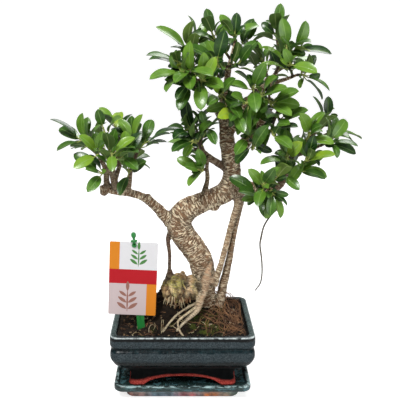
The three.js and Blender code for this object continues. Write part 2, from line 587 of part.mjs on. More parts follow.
// One leaf: it widens from its root in the stem to a blade that is folded along its rib and arched.
function leaf({ root, along, up, length, width, petiole, arch }, extra = 0) {
  const side = up.clone().cross(along);
  const base = root.clone().addScaledVector(along, petiole);
  const rib = LEAF.rib + 2 * extra;
  const stalk = LEAF.stalk + extra;
  const points = [[-1, 0.6], [1, 0.6], [0, -1]].map(([across, over]) => (
    root.clone().addScaledVector(side, across * stalk).addScaledVector(up, over * stalk)
  ));
  for (const share of BLADE_STATIONS) {
    const bend = arch * (share - 0.5);
    const reach = length / arch * (Math.sin(bend) + Math.sin(arch / 2));
    const rise = length / arch * (Math.cos(bend) - Math.cos(arch / 2));
    const middle = base.clone().addScaledVector(along, reach).addScaledVector(up, rise);
    const normal = up.clone().multiplyScalar(Math.cos(bend)).addScaledVector(along, Math.sin(bend));
    const half = bladeHalfWidth(share) * width + extra;
    const edge = (sign) => middle.clone()
      .addScaledVector(side, sign * half * Math.cos(LEAF.fold))
      .addScaledVector(normal, half * Math.sin(LEAF.fold));
    points.push(edge(-1), middle.clone().addScaledVector(normal, rib / 2), edge(1));
    points.push(middle.clone().addScaledVector(normal, -rib / 2));
  }
  points.push(base.clone().addScaledVector(along, length / arch * 2 * Math.sin(arch / 2) + extra));
  const tip = points.length - 1;
  const last = tip - 4;
  const index = [...ROOT_FACES];
  for (let ring = 3; ring < last; ring += 4) {
    for (let corner = 0; corner < 4; corner += 1) {
      const [a, b] = [ring + corner, ring + (corner + 1) % 4];
      // The under side is split along the same lines as the upper side.
      if (corner < 2) index.push(a, a + 4, b + 4, a, b + 4, b);
      else index.push(a, a + 4, b, a + 4, b + 4, b);
    }
  }
  for (let corner = 0; corner < 4; corner += 1) {
    index.push(last + corner, tip, last + (corner + 1) % 4);
  }
  return solid(indexed(points, index));
}

// A direction square to another one, as near as can be to the wanted one.
function squareTo(along, wanted) {
  return wanted.clone().addScaledVector(along, -wanted.dot(along)).normalize();
}

// The middle line of a shoot: it leaves its branch rising and ends in line with its last leaf.
function shootLine({ on, at, fork, to, tip }, parent) {
  const start = fork ? parent.at(fork) : branchCurve(WOOD[on]).getPoint(at);
  const end = new THREE.Vector3(...to);
  const aim = new THREE.Vector3(...tip).sub(end).normalize();
  const span = start.distanceTo(end);
  const rising = start.clone().lerp(end, SHOOT.rise).addScaledVector(UP, span * SHOOT.lift);
  const aiming = end.clone().addScaledVector(aim, -span * SHOOT.aim);
  const points = new THREE.CubicBezierCurve3(start, rising, aiming, end).getPoints(SHOOT.steps);
  const spanAt = (share) => {
    const first = Math.min(Math.floor(share * SHOOT.steps), SHOOT.steps - 1);
    return { from: points[first], onto: points[first + 1], share: share * SHOOT.steps - first };
  };
  return {
    points,
    at: (share) => spanAt(share).from.clone().lerp(spanAt(share).onto, spanAt(share).share),
    axisAt: (share) => spanAt(share).onto.clone().sub(spanAt(share).from).normalize(),
  };
}

function shootStem(line, extra = 0) {
  const { base, end, sides, steps } = SHOOT;
  const points = line.points.map(({ x, y, z }, i) => [x, y, z, THREE.MathUtils.lerp(base, end, i / steps)]);
  return tube(points, sides, 1, extra);
}

// The last leaf of a shoot reaches for its tip. It faces the front by its share, and up otherwise.
function lastLeaf(shoot, line) {
  const end = line.at(1);
  const reach = new THREE.Vector3(...shoot.tip).sub(end);
  const along = reach.clone().normalize();
  const wanted = UP.clone().multiplyScalar(1.05 - shoot.face).addScaledVector(FRONT, shoot.face);
  const { petiole, sunk, arch, narrowest, widest } = LAST_LEAF;
  const length = reach.length() - petiole;
  return {
    root: end.clone().addScaledVector(along, -sunk),
    along,
    up: squareTo(along, wanted),
    length,
    width: LEAF.width * THREE.MathUtils.clamp(length / LEAF.length, narrowest, widest),
    petiole: petiole + sunk,
    arch,
  };
}

// The other leaves stand in a spiral round the shoot, their upper faces turned to its end and to the light.
function sideLeafDraws(index) {
  const vary = (middle, range) => middle + (draw() - 0.5) * range;
  return {
    share: vary(THREE.MathUtils.lerp(SHOOT.first, SHOOT.last, index / (SHOOT.leaves - 1)), VARY.share),
    turn: vary(index * SPREAD.turn + VARY.turn / 2, VARY.turn),
    open: vary(SPREAD.open, VARY.open),
    size: vary(SPREAD.size, VARY.size),
    roll: vary(0, VARY.roll),
    arch: vary(SPREAD.arch, VARY.arch),
  };
}

function sideLeaf(line, draws, attempt) {
  const root = line.at(draws.share);
  const axis = line.axisAt(draws.share);
  const one = squareTo(axis, UP.clone().addScaledVector(FRONT, 0.3));
  const two = axis.clone().cross(one);
  const turn = draws.turn + attempt * PLACING.turn;
  const open = draws.open + (attempt % 3) * PLACING.open;
  const out = one.clone().multiplyScalar(Math.cos(turn)).addScaledVector(two, Math.sin(turn));
  const along = axis.clone().multiplyScalar(Math.cos(open)).addScaledVector(out, Math.sin(open));
  along.addScaledVector(UP, SPREAD.lift).normalize();
  const wanted = UP.clone().multiplyScalar(0.9).addScaledVector(axis, 0.5).addScaledVector(FRONT, 0.25);
  const up = squareTo(along, wanted).applyAxisAngle(along, draws.roll);
  return {
    root,
    along,
    up,
    length: LEAF.length * draws.size,
    width: LEAF.width * draws.size,
    petiole: LEAF.petiole * draws.size,
    arch: draws.arch,
  };
}

function boxesMeet(a, b) {
  return [0, 1, 2].every((axis) => a.min[axis] <= b.max[axis] && b.min[axis] <= a.max[axis]);
}

// True where a body keeps clear of every placed one, apart from those of its own shoot's stem.
function isClear(body, placed, owner) {
  const box = body.boundingBox();
  return placed.every((other) => (
    (other.stemOf !== undefined && other.stemOf === owner)
    || !boxesMeet(box, other.box)
    || body.intersect(other.body).isEmpty()
  ));
}

function keep(body, placed, stemOf) {
  placed.push({ body, box: body.boundingBox(), stemOf });
}

// All the sprays: stems first, then the last leaves, then the side leaves where each finds room.
function sprays(woodRoom) {
  const placed = [];
  keep(woodRoom, placed);
  const bodies = [];
  const shoots = [];
  for (const shoot of SHOOTS) {
    const line = shootLine(shoot, shoots.at(-1)?.line);
    if (!shoot.fork) bodies.push([]);
    const spray = bodies.length - 1;
    shoots.push({ ...shoot, line, spray });
    bodies[spray].push(shootStem(line));
    keep(shootStem(line, PLACING.clearance), placed, spray);
  }
  for (const shoot of shoots) {
    const seat = lastLeaf(shoot, shoot.line);
    keep(leaf(seat, PLACING.clearance), placed);
    bodies[shoot.spray].push(leaf(seat));
  }
  for (const { line, spray } of shoots) {
    for (let index = 0; index < SHOOT.leaves; index += 1) {
      const draws = sideLeafDraws(index);
      for (let attempt = 0; attempt < PLACING.attempts; attempt += 1) {
        const seat = sideLeaf(line, draws, attempt);
        const body = leaf(seat);
        if (isClear(body, placed, spray)) {
          keep(leaf(seat, PLACING.clearance), placed);
          bodies[spray].push(body);
          break;
        }
      }
    }
  }
  return bodies.map((pieces) => largest(joined(pieces).subtract(woodRoom)));
}

const finishes = {
  saucer: { color: 0x1f3a3c, roughness: 0.25, metalness: 0 },
  bowl: { color: 0x27383c, roughness: 0.3, metalness: 0 },
  mesh: { color: 0x16181a, roughness: 0.6, metalness: 0 },
  compost: { color: 0x2a1d14, roughness: 1, metalness: 0 },
  card: { color: 0xe8e2e4, roughness: 0.45, metalness: 0 },
  stake: { color: 0x0f7a4a, roughness: 0.4, metalness: 0 },
  wood: { color: 0x8c7355, roughness: 0.85, metalness: 0 },
  leaf: { color: 0x3f7a2c, roughness: 0.35, metalness: 0 },
};

const group = new THREE.Group();
function addPart(name, body, finish) {
  const mesh = new THREE.Mesh(geometryOf(body), new THREE.MeshStandardMaterial(finishes[finish]));
  mesh.name = name;
  group.add(mesh);
}

const woodRoom = wood(GAP);
addPart('saucer', saucer(), 'saucer');
addPart('bowl', bowl(), 'bowl');
addPart('drain_mesh', meshPad(), 'mesh');
addPart('compost', compost(woodRoom, labelStake(GAP)), 'compost');
addPart('label_card', labelCard(), 'card');
addPart('label_stake', labelStake(), 'stake');
addPart('trunk_and_roots', wood(), 'wood');
sprays(woodRoom).forEach((body, i) => {
  addPart(`spray_${String(i + 1).padStart(2, '0')}`, body, 'leaf');
});

export default group;
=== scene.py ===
import math
import random

import bmesh
import bpy
import numpy as np
from mathutils import Matrix, Vector, kdtree, noise


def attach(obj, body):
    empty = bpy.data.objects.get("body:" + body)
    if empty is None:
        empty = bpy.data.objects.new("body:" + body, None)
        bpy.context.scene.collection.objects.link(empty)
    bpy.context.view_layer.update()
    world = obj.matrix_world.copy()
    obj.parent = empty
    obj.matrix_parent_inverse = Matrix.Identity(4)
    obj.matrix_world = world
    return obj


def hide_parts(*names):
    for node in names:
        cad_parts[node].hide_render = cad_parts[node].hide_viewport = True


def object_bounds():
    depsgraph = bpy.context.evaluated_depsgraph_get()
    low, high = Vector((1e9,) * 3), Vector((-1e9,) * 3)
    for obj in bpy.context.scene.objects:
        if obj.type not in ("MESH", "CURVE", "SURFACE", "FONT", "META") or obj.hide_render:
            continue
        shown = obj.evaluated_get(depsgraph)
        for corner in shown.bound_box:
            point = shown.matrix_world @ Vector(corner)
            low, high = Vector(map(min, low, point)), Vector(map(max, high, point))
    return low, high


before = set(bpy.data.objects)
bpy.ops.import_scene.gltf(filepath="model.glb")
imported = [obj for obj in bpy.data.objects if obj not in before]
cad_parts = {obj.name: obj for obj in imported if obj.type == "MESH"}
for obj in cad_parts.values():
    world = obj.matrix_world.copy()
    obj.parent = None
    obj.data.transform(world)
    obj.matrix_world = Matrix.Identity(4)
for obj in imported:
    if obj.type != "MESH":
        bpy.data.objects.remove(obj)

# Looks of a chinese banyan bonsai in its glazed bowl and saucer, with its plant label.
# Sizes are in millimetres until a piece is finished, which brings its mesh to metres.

solid_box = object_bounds()

MM = 0.001
UP = Vector((0, 0, 1))
FRONT = Vector((0, -1, 0))

# The camera of the photograph. The lens is for a 36 mm sensor.
CAMERA = {"at": (-9, -904, 496), "down": math.radians(13.8), "lens": 59.85, "shift": 0.06}
# Soft lamps, as (name, place in metres, size, watts), the point they face, and the light from all round.
LAMPS = (
    ("key", (-0.6, -1.15, 1.8), 0.55, 43),
    ("fill", (1.3, -1.3, 0.7), 1.2, 14),
    ("back", (0.4, 1.0, 1.5), 0.9, 15),
)
LAMPS_AIM = (0.03, 0, 0.25)
DAYLIGHT = 0.25
# The floor's profile in metres, from its middle outwards and up, and how much it glows for the camera.
FLOOR = ((0, 0), (1.2, 0), (2.2, 0), (2.7, 0.08), (3.05, 0.32), (3.25, 0.75), (3.3, 1.4), (3.3, 3.6))
FLOOR_GLOW = 0.72

# Saucer, as (set in from the outline, height, corner), going up the outside and down into the basin.
SAUCER_FOOT = (160, 110)
SAUCER_LIP = (192, 136)
SAUCER_FOOT_ROWS = [(3.2, 0, 10), (1.4, 0.3, 11), (0.4, 1.2, 12), (0, 2.6, 12), (0, 11, 12)]
SAUCER_LIP_ROWS = [
    (5.5, 13.2, 11), (3, 13.9, 12), (1.2, 14.6, 12), (0.3, 15.6, 12), (0, 17, 12), (0, 21, 12),
    (0.4, 22.2, 12), (1.3, 22.9, 12), (2.6, 23, 11.5), (4, 22.8, 11), (4.9, 22, 10.5), (5.6, 19.5, 10),
    (6.2, 17, 10), (7, 15.9, 10), (8.5, 15.5, 10),
]
SAUCER_FLOOR = 15.5

# Bowl: the outside from the skirt up to the rim, and the inside from the rim down.
BOWL = (200, 150)
BOWL_CORNER, INSIDE_CORNER, SKIRT_CORNER = 12, 9, 8
# How fast the outer corners tighten where the outside stands in.
CORNER_TAPER = 0.16
BOWL_OUTSIDE = [
    (25.2, 36), (24.8, 40), (23, 43), (18.5, 44.8), (14.5, 47), (11, 50), (7.6, 53.2), (5, 56), (2.8, 60),
    (1, 64), (0.2, 67), (0, 70), (0.1, 73.5), (0.5, 76), (1.3, 77.8), (2.7, 79), (3.2, 80.5), (2.7, 82),
    (1.4, 83.4), (0.5, 84.5), (0.1, 86), (0, 90), (0, 95.5), (0.2, 97.5), (0.9, 99.1), (2.2, 99.9),
]
BOWL_INSIDE = [
    (3.6, 100), (6.4, 100), (7.8, 99.6), (8.6, 98.7), (9.3, 96.8), (9.5, 94), (11, 64), (17, 52),
    (26, 45.5), (30, 44),
]
SKIRT = {"outer": 24.6, "inner": 33, "bottom": 15.8, "under": 36, "drain": 11, "floor": 44}
# An arch of the skirt: how far its end stands in from the bowl's side, how far the curve flares past that end
# and bends before it, and its lift at the end, at the shoulder and at the crown.
ARCH = {"end": 50, "flare": 6, "bend": 10, "spring": 6, "shoulder": 9, "crown": 13.7}
# How high the red brown glaze stands above the edge of the skirt, and how much higher on its feet.
LIP_REACH, LIP_ON_FEET = 4, 4
# The two matte bands round the bowl, as (lower, upper) limits in metres.
MATTE_BANDS = ((0.0635, 0.0762), (0.083, 0.0938))
# Steps of an outline round one corner and along one side.
CORNER_STEPS = 6
SIDE_STEPS = 36

# Compost, with the mounds round the foot of the tree as (x, y, height, spread).
SOIL = {"edge": 95, "dome": 4, "level": 0.35, "rough": 1.6, "wall": 9.85, "bottom": 44.6}
MOUNDS = [(-20, 4, 44, 22), (38, 6, 16, 34), (62, 34, 11, 24)]
BED_ROWS = 72
# How far from the middle loose bits may lie, along X and Y.
LITTER_REACH = (86, 61)
CRUMBS = {"count": 1500, "reach": (87, 62), "smallest": 0.55, "largest": 1.3, "size": 1.45, "dented": 0.2}
# Moss cushions, as (how many, range of x, range of y), and the blades of each.
MOSS_CUSHIONS = [(26, (12, 60), (-58, -12)), (18, (-80, 80), (-58, 58))]
MOSS_BLADES = {"count": 40, "wide": 2.6, "deep": 2.2, "shortest": 1.0, "tallest": 2.4, "lean": 0.6}
# Lots of loose fibres and roots: how many, in a tuft (middle and spread) or strewn (between two limits), the
# numbers for x and for y, and the ranges of length, lift and half thickness.
FIBRE_LOTS = [
    (90, "tuft", (62, 13), (-26, 16), (18, 44), (2, 12), (0.22, 0.46)),
    (44, "tuft", (58, 12), (28, 12), (24, 44), (6, 18), (0.22, 0.42)),
    (90, "strewn", (-80, 80), (-58, 58), (8, 20), (0.5, 4), (0.2, 0.35)),
]
PALE_ROOT_LOTS = [
    (16, "strewn", (-80, 10), (-60, -20), (10, 26), (0.6, 2), (0.25, 0.6)),
    (10, "strewn", (10, 80), (-60, 0), (6, 14), (0.5, 1.5), (0.3, 0.5)),
]

# Plant label. The stake's heights are from the place where it enters the compost.
LABEL_FOOT = (-58, -40, 99)
STAKE_LEAN = math.radians(3.6)
STAKE = {"half": 5.25, "slim": 3.15, "thick": 1.6, "depth": 36, "point": 14, "wide": 102, "narrow": 114,
         "height": 126, "behind": 1.65, "top": 128.6}
CARD_LEAN = math.radians(2.6)
CARD = {"x": 66, "z": 106, "thick": 1, "corner": 2}
# Where the card's colour fields meet, as shares of its width from the left and height from the top.
FIELDS = {"left": 0.21, "band_top": 0.37, "band_bottom": 0.565, "right": 0.79}
INKS = [
    ("card_white", (206, 205, 207)), ("card_red", (168, 8, 24)), ("card_orange", (200, 120, 22)),
    ("card_grey", (186, 170, 170)), ("card_leaf_green", (70, 120, 60)), ("card_leaf_brown", (140, 96, 84)),
]
WHITE, RED, ORANGE, GREY, LEAF_GREEN, LEAF_BROWN = range(len(INKS))

# Tree: centre line points and half thickness, [x, y, z, r]. A branch starts inside the one it grew from.
LIMBS = {
    "trunk": [
        [37, 6, 70, 7], [36, 5, 98, 10.5], [35, 4, 124, 12.5], [33, 4, 146, 15.5], [30, 5, 166, 17],
        [24, 4, 189, 17.5], [11, 2, 210, 17.5], [-1, 0, 227, 17.5], [-5, -2, 244, 18], [5, -3, 260, 16.5],
        [18, -3, 267, 15.3], [32, -2, 273, 14.6], [46, 0, 278, 14], [62, 3, 287, 14.7], [69, 4, 307, 12.5],
        [67, 4, 327, 12], [63, 4, 347, 11.5], [60, 4, 366, 10], [58, 4, 385, 8.5],
    ],
    "crown": [
        [59, 4, 376, 8.5], [56, 2, 406, 6.3], [58, 0, 426, 5.2], [61, 0, 450, 4], [65, 0, 470, 3],
        [69, 2, 488, 2],
    ],
    "left": [
        [-3, -2, 244, 13], [-23, -6, 252, 9.3], [-35, -10, 265, 7], [-48, -12, 277, 6.2],
        [-60, -14, 284, 5.6], [-74, -15, 288, 5.4], [-90, -15, 290, 5.2], [-106, -15, 294, 5.4],
        [-113, -15, 293, 4.8],
    ],
    "fan_left": [[-104, -15, 292, 4.5], [-104, -18, 318, 4], [-110, -22, 335, 3], [-119, -24, 349, 2]],
    "fan_mid": [[-97, -15, 291, 4.1], [-90, -8, 313, 3.4], [-85, 0, 331, 2.8], [-83, 4, 350, 2.1]],
    "fan_right": [[-75, -15, 288, 4.1], [-72, -12, 311, 3.4], [-68, -8, 329, 2.7], [-62, -6, 344, 2]],
    "fan_front": [[-92, -15, 291, 3.6], [-94, -38, 313, 3], [-96, -56, 330, 2.1]],
    "fan_back": [[-88, -15, 289, 4.1], [-95, 12, 303, 3.5], [-100, 36, 317, 2.9], [-102, 52, 327, 2.2]],
    "mid_left": [[62, 4, 318, 6], [40, -6, 333, 4.8], [28, -10, 344, 4.1], [21, -14, 363, 2.7]],
    "rising_left": [[26, -4, 270, 5.5], [34, -8, 303, 3.4], [33, -13, 323, 2.9], [36, -18, 341, 2]],
    "top_left": [
        [59, 4, 380, 7], [41, -6, 410, 6], [26, -10, 424, 5.3], [16, -12, 440, 4], [12, -12, 456, 2.6],
    ],
    "top_right": [
        [60, 4, 366, 9], [78, 0, 394, 7.5], [93, -2, 416, 6.1], [106, -2, 432, 4.7], [123, 0, 446, 3.3],
        [130, 2, 463, 2],
    ],
    "top_right_low": [[102, -2, 427, 4.5], [123, -8, 437, 3.3], [138, -12, 442, 2.6], [150, -14, 447, 2]],
    "top_back": [[58, 4, 388, 6.1], [55, 30, 413, 4.5], [53, 52, 431, 2.8]],
    "top_right_back": [[82, 0, 399, 5.4], [104, 26, 424, 4.2], [120, 46, 439, 2.8]],
    "shoulder": [
        [66, 4, 326, 10.5], [93, 8, 362, 7.9], [104, 10, 378, 6.5], [111, 12, 394, 6.4], [113, 13, 399, 5],
    ],
    "shoulder_up": [[102, 9, 376, 4.8], [116, 4, 396, 3.4], [125, -8, 408, 2.3]],
    "right": [
        [62, 3, 288, 14], [79, 2, 292, 12.4], [94, -4, 291, 10], [110, -10, 289, 7.9], [127, -14, 287, 6.2],
        [136, -16, 275, 5.2],
    ],
    "right_up": [
        [121, -12, 287, 5.5], [135, -12, 300, 5.1], [142, -8, 316, 4.5], [148, -4, 332, 3.8],
        [158, 0, 349, 3.1], [182, 4, 358, 2.1],
    ],
    "right_out": [[150, -3, 335, 3.4], [170, -14, 346, 2.7], [184, -22, 354, 2]],
    "right_back": [[138, -10, 306, 4.1], [155, 20, 321, 3.2], [170, 46, 334, 2.3]],
    "right_front": [[118, -12, 288, 4.1], [114, -36, 297, 2.7], [111, -48, 303, 2]],
}

ROOTS = {
    "twin_left": [
        [76, 3, 280, 5], [77, 2, 266, 5.2], [70, 0, 242, 4.2], [62, -4, 209, 4.3], [54, -8, 179, 4.4],
        [45, -8, 150, 6],
    ],
    "twin_right": [
        [80, 4, 284, 5], [82, 4, 269, 4.6], [76, 5, 235, 3.6], [70, 3, 200, 4.4], [64, 1, 170, 5.6],
        [58, 0, 141, 6.5], [52, 2, 104, 7],
    ],
    "prop": [
        [-12, -2, 236, 4.5], [-20, -4, 220, 3.4], [-18, -8, 196, 2.8], [-18, -12, 178, 3.2],
        [-16, -13, 158, 5],
    ],
    "front": [
        [38, -2, 184, 6], [32, -17, 154, 6.4], [25, -25, 136, 6], [20, -33, 122, 4.5], [4, -42, 110, 2.6],
        [-8, -49, 98, 2], [-12, -52, 84, 1.8],
    ],
    "front_thin": [
        [22, -30, 128, 2.6], [4, -44, 120, 1.7], [-6, -50, 113, 1.5], [-4, -56, 102, 1.4],
        [4, -61, 92, 1.3], [7, -62, 84, 1.2],
    ],
    "front_low": [
        [22, -26, 132, 2.4], [-2, -34, 121, 1.8], [-16, -42, 110, 1.6], [-26, -48, 98, 1.5],
        [-30, -50, 86, 1.5],
    ],
    "hanging": [
        [133, -16, 281, 2.4], [132, -17, 268, 1.5], [122, -18, 257, 1.3], [113, -19, 242, 1.2],
        [109, -20, 225, 1.3], [108, -20, 213, 1.2], [111, -20, 192, 1.1], [112, -20, 173, 1],
        [110, -20, 158, 0.9], [103, -20, 147, 0.8],
    ],
    "side_back": [[40, 16, 120, 9], [56, 30, 106, 5], [70, 40, 94, 3.2], [78, 44, 80, 2.6]],
}

# Swellings: centre, and half sizes along X, Y and Z.
SWELLINGS = {
    "bulb": ((-8, -14, 149), (21, 17, 21)),
    "bulb_shoulder": ((12, -12, 148), (16, 16, 18)),
    "bulb_knob": ((0, -18, 168), (6, 6, 7)),
    "prop_foot": ((-19, -14, 163), (7, 7, 9)),
    "low_cut": ((35, -5, 193), (7, 7, 9)),
    "fork_cut": ((60, -7, 290), (8, 6, 8)),
    "shoulder_cut": ((106, 8, 383), (9, 9, 11)),
}
# Roots too thin for the sculpted wood. They are drawn as tubes of their own.
THIN_ROOTS = ("front_thin", "front_low", "hanging")

# Leaves and shoots, by the same rule as the solids.
LEAF = {"length": 35, "width": 17.5, "petiole": 8, "fold": 0.34, "thick": 0.5}
LAST_LEAF = {"petiole": 3, "sunk": 1.5, "arch": 0.6, "narrowest": 0.8, "widest": 1.05}
SHOOT = {"base": 2.0, "end": 1.3, "steps": 3, "rise": 0.35, "lift": 0.06, "aim": 0.3,
         "leaves": 3, "first": 0.45, "last": 0.8}
SPREAD = {"turn": 2.39996, "open": 1, "size": 0.97, "arch": 0.7875, "lift": 0.22}
VARY = {"share": 0.05, "turn": 1.2, "open": 0.5, "size": 0.3, "roll": 0.9, "arch": 0.525}
PLACING = {"attempts": 12, "turn": 0.7, "open": 0.14}
SEED = 20317
# Smaller leaves between those of the solids.
FILLERS = {"each": 7, "few": 1, "first": 0.12, "last": 1.0, "small": 0.36, "large": 0.72, "apart": 6.5,
           "seed": 811}
# How light a leaf's green is: the usual tone, how far whole sprays and single leaves stray from it, how much
# lighter young leaves are and how many there are of them, and how much darker the oldest small leaves are,
# near the start of their shoots and deep in the crown, partly as painted shade.
LEAF_TONE = {"usual": 0.28, "sprays": 0.12, "leaves": 0.16, "young": 0.42, "young_share": 0.07, "old": 0.28}

# Leafy shoots: branch, how far along it, where the shoot ends, where the tip of its last leaf reaches,
# and how far that leaf faces the front. A row with no branch grows out of the shoot before it.
SHOOTS = [
    ("fan_left", 1, (-138, -26, 365), (-175, -30, 391), 0.1),
    ("fan_left", 0.8, (-134, -8, 361), (-129, 4, 390), 0.8),
    ("fan_left", 0.75, (-114, -44, 344), (-142, -60, 331), 0.7),
    ("fan_mid", 0.52, (-107, -14, 378), (-113, -18, 403), 0.8),
    ("fan_mid", 1, (-95, 14, 379), (-116, 22, 401), 0.4),
    ("fan_mid", 0.68, (-72, 8, 360), (-69, 6, 392), 0.6),
    ("fan_right", 1, (-66, -18, 364), (-53, -24, 397), 0.3),
    ("fan_right", 0.6, (-48, -12, 358), (-16, -16, 370), 0.1),
    ("fan_right", 0.35, (-70, -34, 322), (-47, -56, 340), 0.7),
    ("fan_left", 0.35, (-109, -42, 321), (-126, -62, 330), 0.5),
    ("fan_back", 0.9, (-123, 58, 341), (-151, 88, 330), 0.3),
    ("fan_back", 1, (-93, 66, 346), (-84, 94, 359), 0.5),
    ("fan_back", 0.6, (-71, 44, 323), (-48, 72, 324), 0.4),
    ("fan_front", 1, (-91, -64, 350), (-89, -86, 331), 0.7),
    (None, 0.35, (-77, -52, 343), (-57, -76, 332), 0.6),
    ("fan_front", 0.7, (-95, -48, 353), (-86, -58, 382), 0.8),
    ("mid_left", 1, (4, -24, 376), (-38, -34, 370), 0.1),
    ("mid_left", 0.68, (12, -36, 363), (-15, -58, 352), 0.4),
    (None, 0.35, (32, -36, 380), (42, -58, 361), 0.5),
    ("rising_left", 0.6, (23, -28, 322), (1, -46, 331), 0.6),
    ("mid_left", 0.9, (15, -6, 381), (-4, 0, 402), 0.3),
    ("mid_left", 0.55, (8, 24, 346), (-21, 52, 348), 0.3),
    ("top_left", 0.76, (-12, -20, 466), (-48, -28, 473), 0.3),
    ("top_left", 1, (5, -4, 481), (-36, -8, 509), 0.4),
    ("top_left", 0.88, (19, 14, 492), (41, 20, 520), 0.5),
    ("crown", 0.75, (37, -8, 504), (30, -10, 532), 0.8),
    ("crown", 0.6, (44, -26, 467), (53, -38, 505), 0.8),
    (None, 0.35, (73, -30, 464), (86, -52, 486), 0.7),
    ("crown", 1, (68, -6, 499), (70, -8, 527), 0.7),
    ("top_left", 0.64, (-5, -40, 452), (-43, -58, 444), 0.4),
    ("top_left", 0.4, (6, -38, 436), (-9, -56, 418), 0.5),
    ("top_left", 0.54, (9, -50, 455), (37, -78, 449), 0.4),
    (None, 0.35, (28, -46, 441), (50, -76, 435), 0.7),
    ("top_back", 1, (26, 72, 441), (-6, 98, 448), 0.3),
    ("top_back", 0.8, (42, 58, 467), (26, 80, 494), 0.5),
    ("crown", 0.85, (88, 26, 489), (99, 38, 517), 0.5),
    ("crown", 0.25, (46, -42, 422), (30, -66, 412), 0.5),
    (None, 0.35, (68, -44, 399), (77, -68, 377), 0.7),
    ("top_right", 1, (124, 2, 507), (128, 2, 539), 0.8),
    ("top_right", 0.78, (135, -16, 483), (127, -20, 520), 0.7),
    ("top_right", 0.9, (153, -10, 479), (195, -16, 474), 0.4),
    ("top_right_low", 0.85, (139, -38, 461), (168, -60, 452), 0.6),
    ("top_right_low", 1, (161, -20, 446), (192, -28, 427), 0.1),
    ("top_right", 0.5, (91, -38, 434), (103, -56, 465), 0.7),
    (None, 0.35, (80, -46, 413), (59, -72, 426), 0.6),
    ("top_right_low", 0.4, (101, -46, 422), (130, -72, 434), 0.5),
    (None, 0.35, (115, -40, 409), (137, -66, 399), 0.5),
    ("top_right_back", 1, (113, 64, 466), (99, 90, 491), 0.4),
    ("top_right_back", 0.76, (156, 58, 458), (192, 82, 464), 0.3),
    ("right_up", 0.86, (198, 6, 388), (198, 8, 418), 0.8),
    ("right_out", 1, (198, -28, 360), (231, -38, 356), 0.2),
    ("right_up", 1, (216, 16, 367), (253, 26, 356), 0.1),
    ("right_out", 0.6, (165, -40, 337), (196, -62, 349), 0.4),
    ("right_up", 0.4, (159, -32, 322), (187, -52, 315), 0.4),
    (None, 0.35, (137, -48, 345), (150, -76, 368), 0.7),
    ("right_up", 0.72, (165, -34, 373), (148, -58, 402), 0.7),
    ("shoulder_up", 1, (131, -28, 388), (161, -50, 405), 0.5),
    (None, 0.35, (118, -46, 371), (137, -76, 359), 0.5),
    ("shoulder", 0.6, (93, -40, 354), (108, -66, 388), 0.6),
    (None, 0.35, (84, -36, 366), (67, -60, 348), 0.6),
    ("right_front", 0.3, (105, -62, 311), (115, -84, 336), 0.8),
    (None, 0.35, (134, -44, 317), (151, -66, 303), 0.7),
    ("right_front", 1, (116, -60, 298), (113, -70, 269), 0.9),
    ("right", 0.55, (101, -38, 290), (72, -60, 300), 0.5),
]
# Shoots of the thin branch at the back, which are in this model alone and carry small leaves only.
SMALL_SHOOTS = [
    ("right_back", 1, (186, 60, 346), (206, 80, 350), 0.3),
    ("right_back", 0.62, (150, 46, 342), (138, 64, 354), 0.6),
    ("right_back", 0.85, (186, 34, 334), (208, 40, 330), 0.4),
]


# Making pieces

def finished(name, mesh, materials, replaces=(), sharp=60):
    """Brings a mesh to metres, smooths its shading and makes it a piece."""
    mesh.transform(Matrix.Scale(MM, 4))
    mesh.name = name
    for material in materials:
        mesh.materials.append(material)
    mesh.shade_smooth()
    mesh.set_sharp_from_angle(angle=math.radians(sharp))
    piece = bpy.data.objects.new(name, mesh)
    bpy.context.scene.collection.objects.link(piece)
    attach(piece, "root")
    if replaces:
        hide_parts(*replaces)
    return piece


def mesh_of(bm):
    mesh = bpy.data.meshes.new("piece")
    bm.to_mesh(mesh)
    bm.free()
    return mesh


def evaluated(data, *modifiers):
    """The mesh of a curve or mesh after modifiers given as (type, settings)."""
    holder = bpy.data.objects.new("holder", data)
    bpy.context.scene.collection.objects.link(holder)
    for kind, settings in modifiers:
        modifier = holder.modifiers.new(kind, kind)
        for key, value in settings.items():
            setattr(modifier, key, value)
    graph = bpy.context.evaluated_depsgraph_get()
    mesh = bpy.data.meshes.new_from_object(holder.evaluated_get(graph), depsgraph=graph)
    bpy.data.objects.remove(holder)
    return mesh


def with_run_out(points):
    """The points as rows of numbers, with one more before and after in line with the ends."""
    rows = [np.array(point, float) for point in points]
    return [2 * rows[0] - rows[1], *rows, 2 * rows[-1] - rows[-2]]


def smooth_point(rows, first, t):
    """A point of the smooth curve through the middle two of four rows, a share t of the way between them."""
    before, start, end, after = rows[first:first + 4]
    return 0.5 * (
        2 * start + (end - before) * t
        + (2 * before - 5 * start + 4 * end - after) * t ** 2
        + (3 * start - before - 3 * end + after) * t ** 3
    )


def smooth_line(points, steps):
    """Points of a smooth curve through the listed ones, with the thickness carried along."""
    rows = with_run_out(points)
    line = []
    for first in range(len(rows) - 3):
        line += [smooth_point(rows, first, step / steps) for step in range(steps)]
    line.append(rows[-2])
    return line


def tubes(lines, sides=8):
    """Round tubes along lines of [x, y, z, half thickness], closed at both ends, as one mesh."""
    curve = bpy.data.curves.new("tubes", "CURVE")
    curve.dimensions = "3D"
    curve.bevel_depth = 1
    curve.bevel_resolution = (sides - 4) // 2
    curve.use_fill_caps = True
    for line in lines:
        spline = curve.splines.new("POLY")
        spline.points.add(len(line) - 1)
        for point, (x, y, z, radius) in zip(spline.points, line):
            point.co = (x, y, z, 1)
            point.radius = radius
    return evaluated(curve)


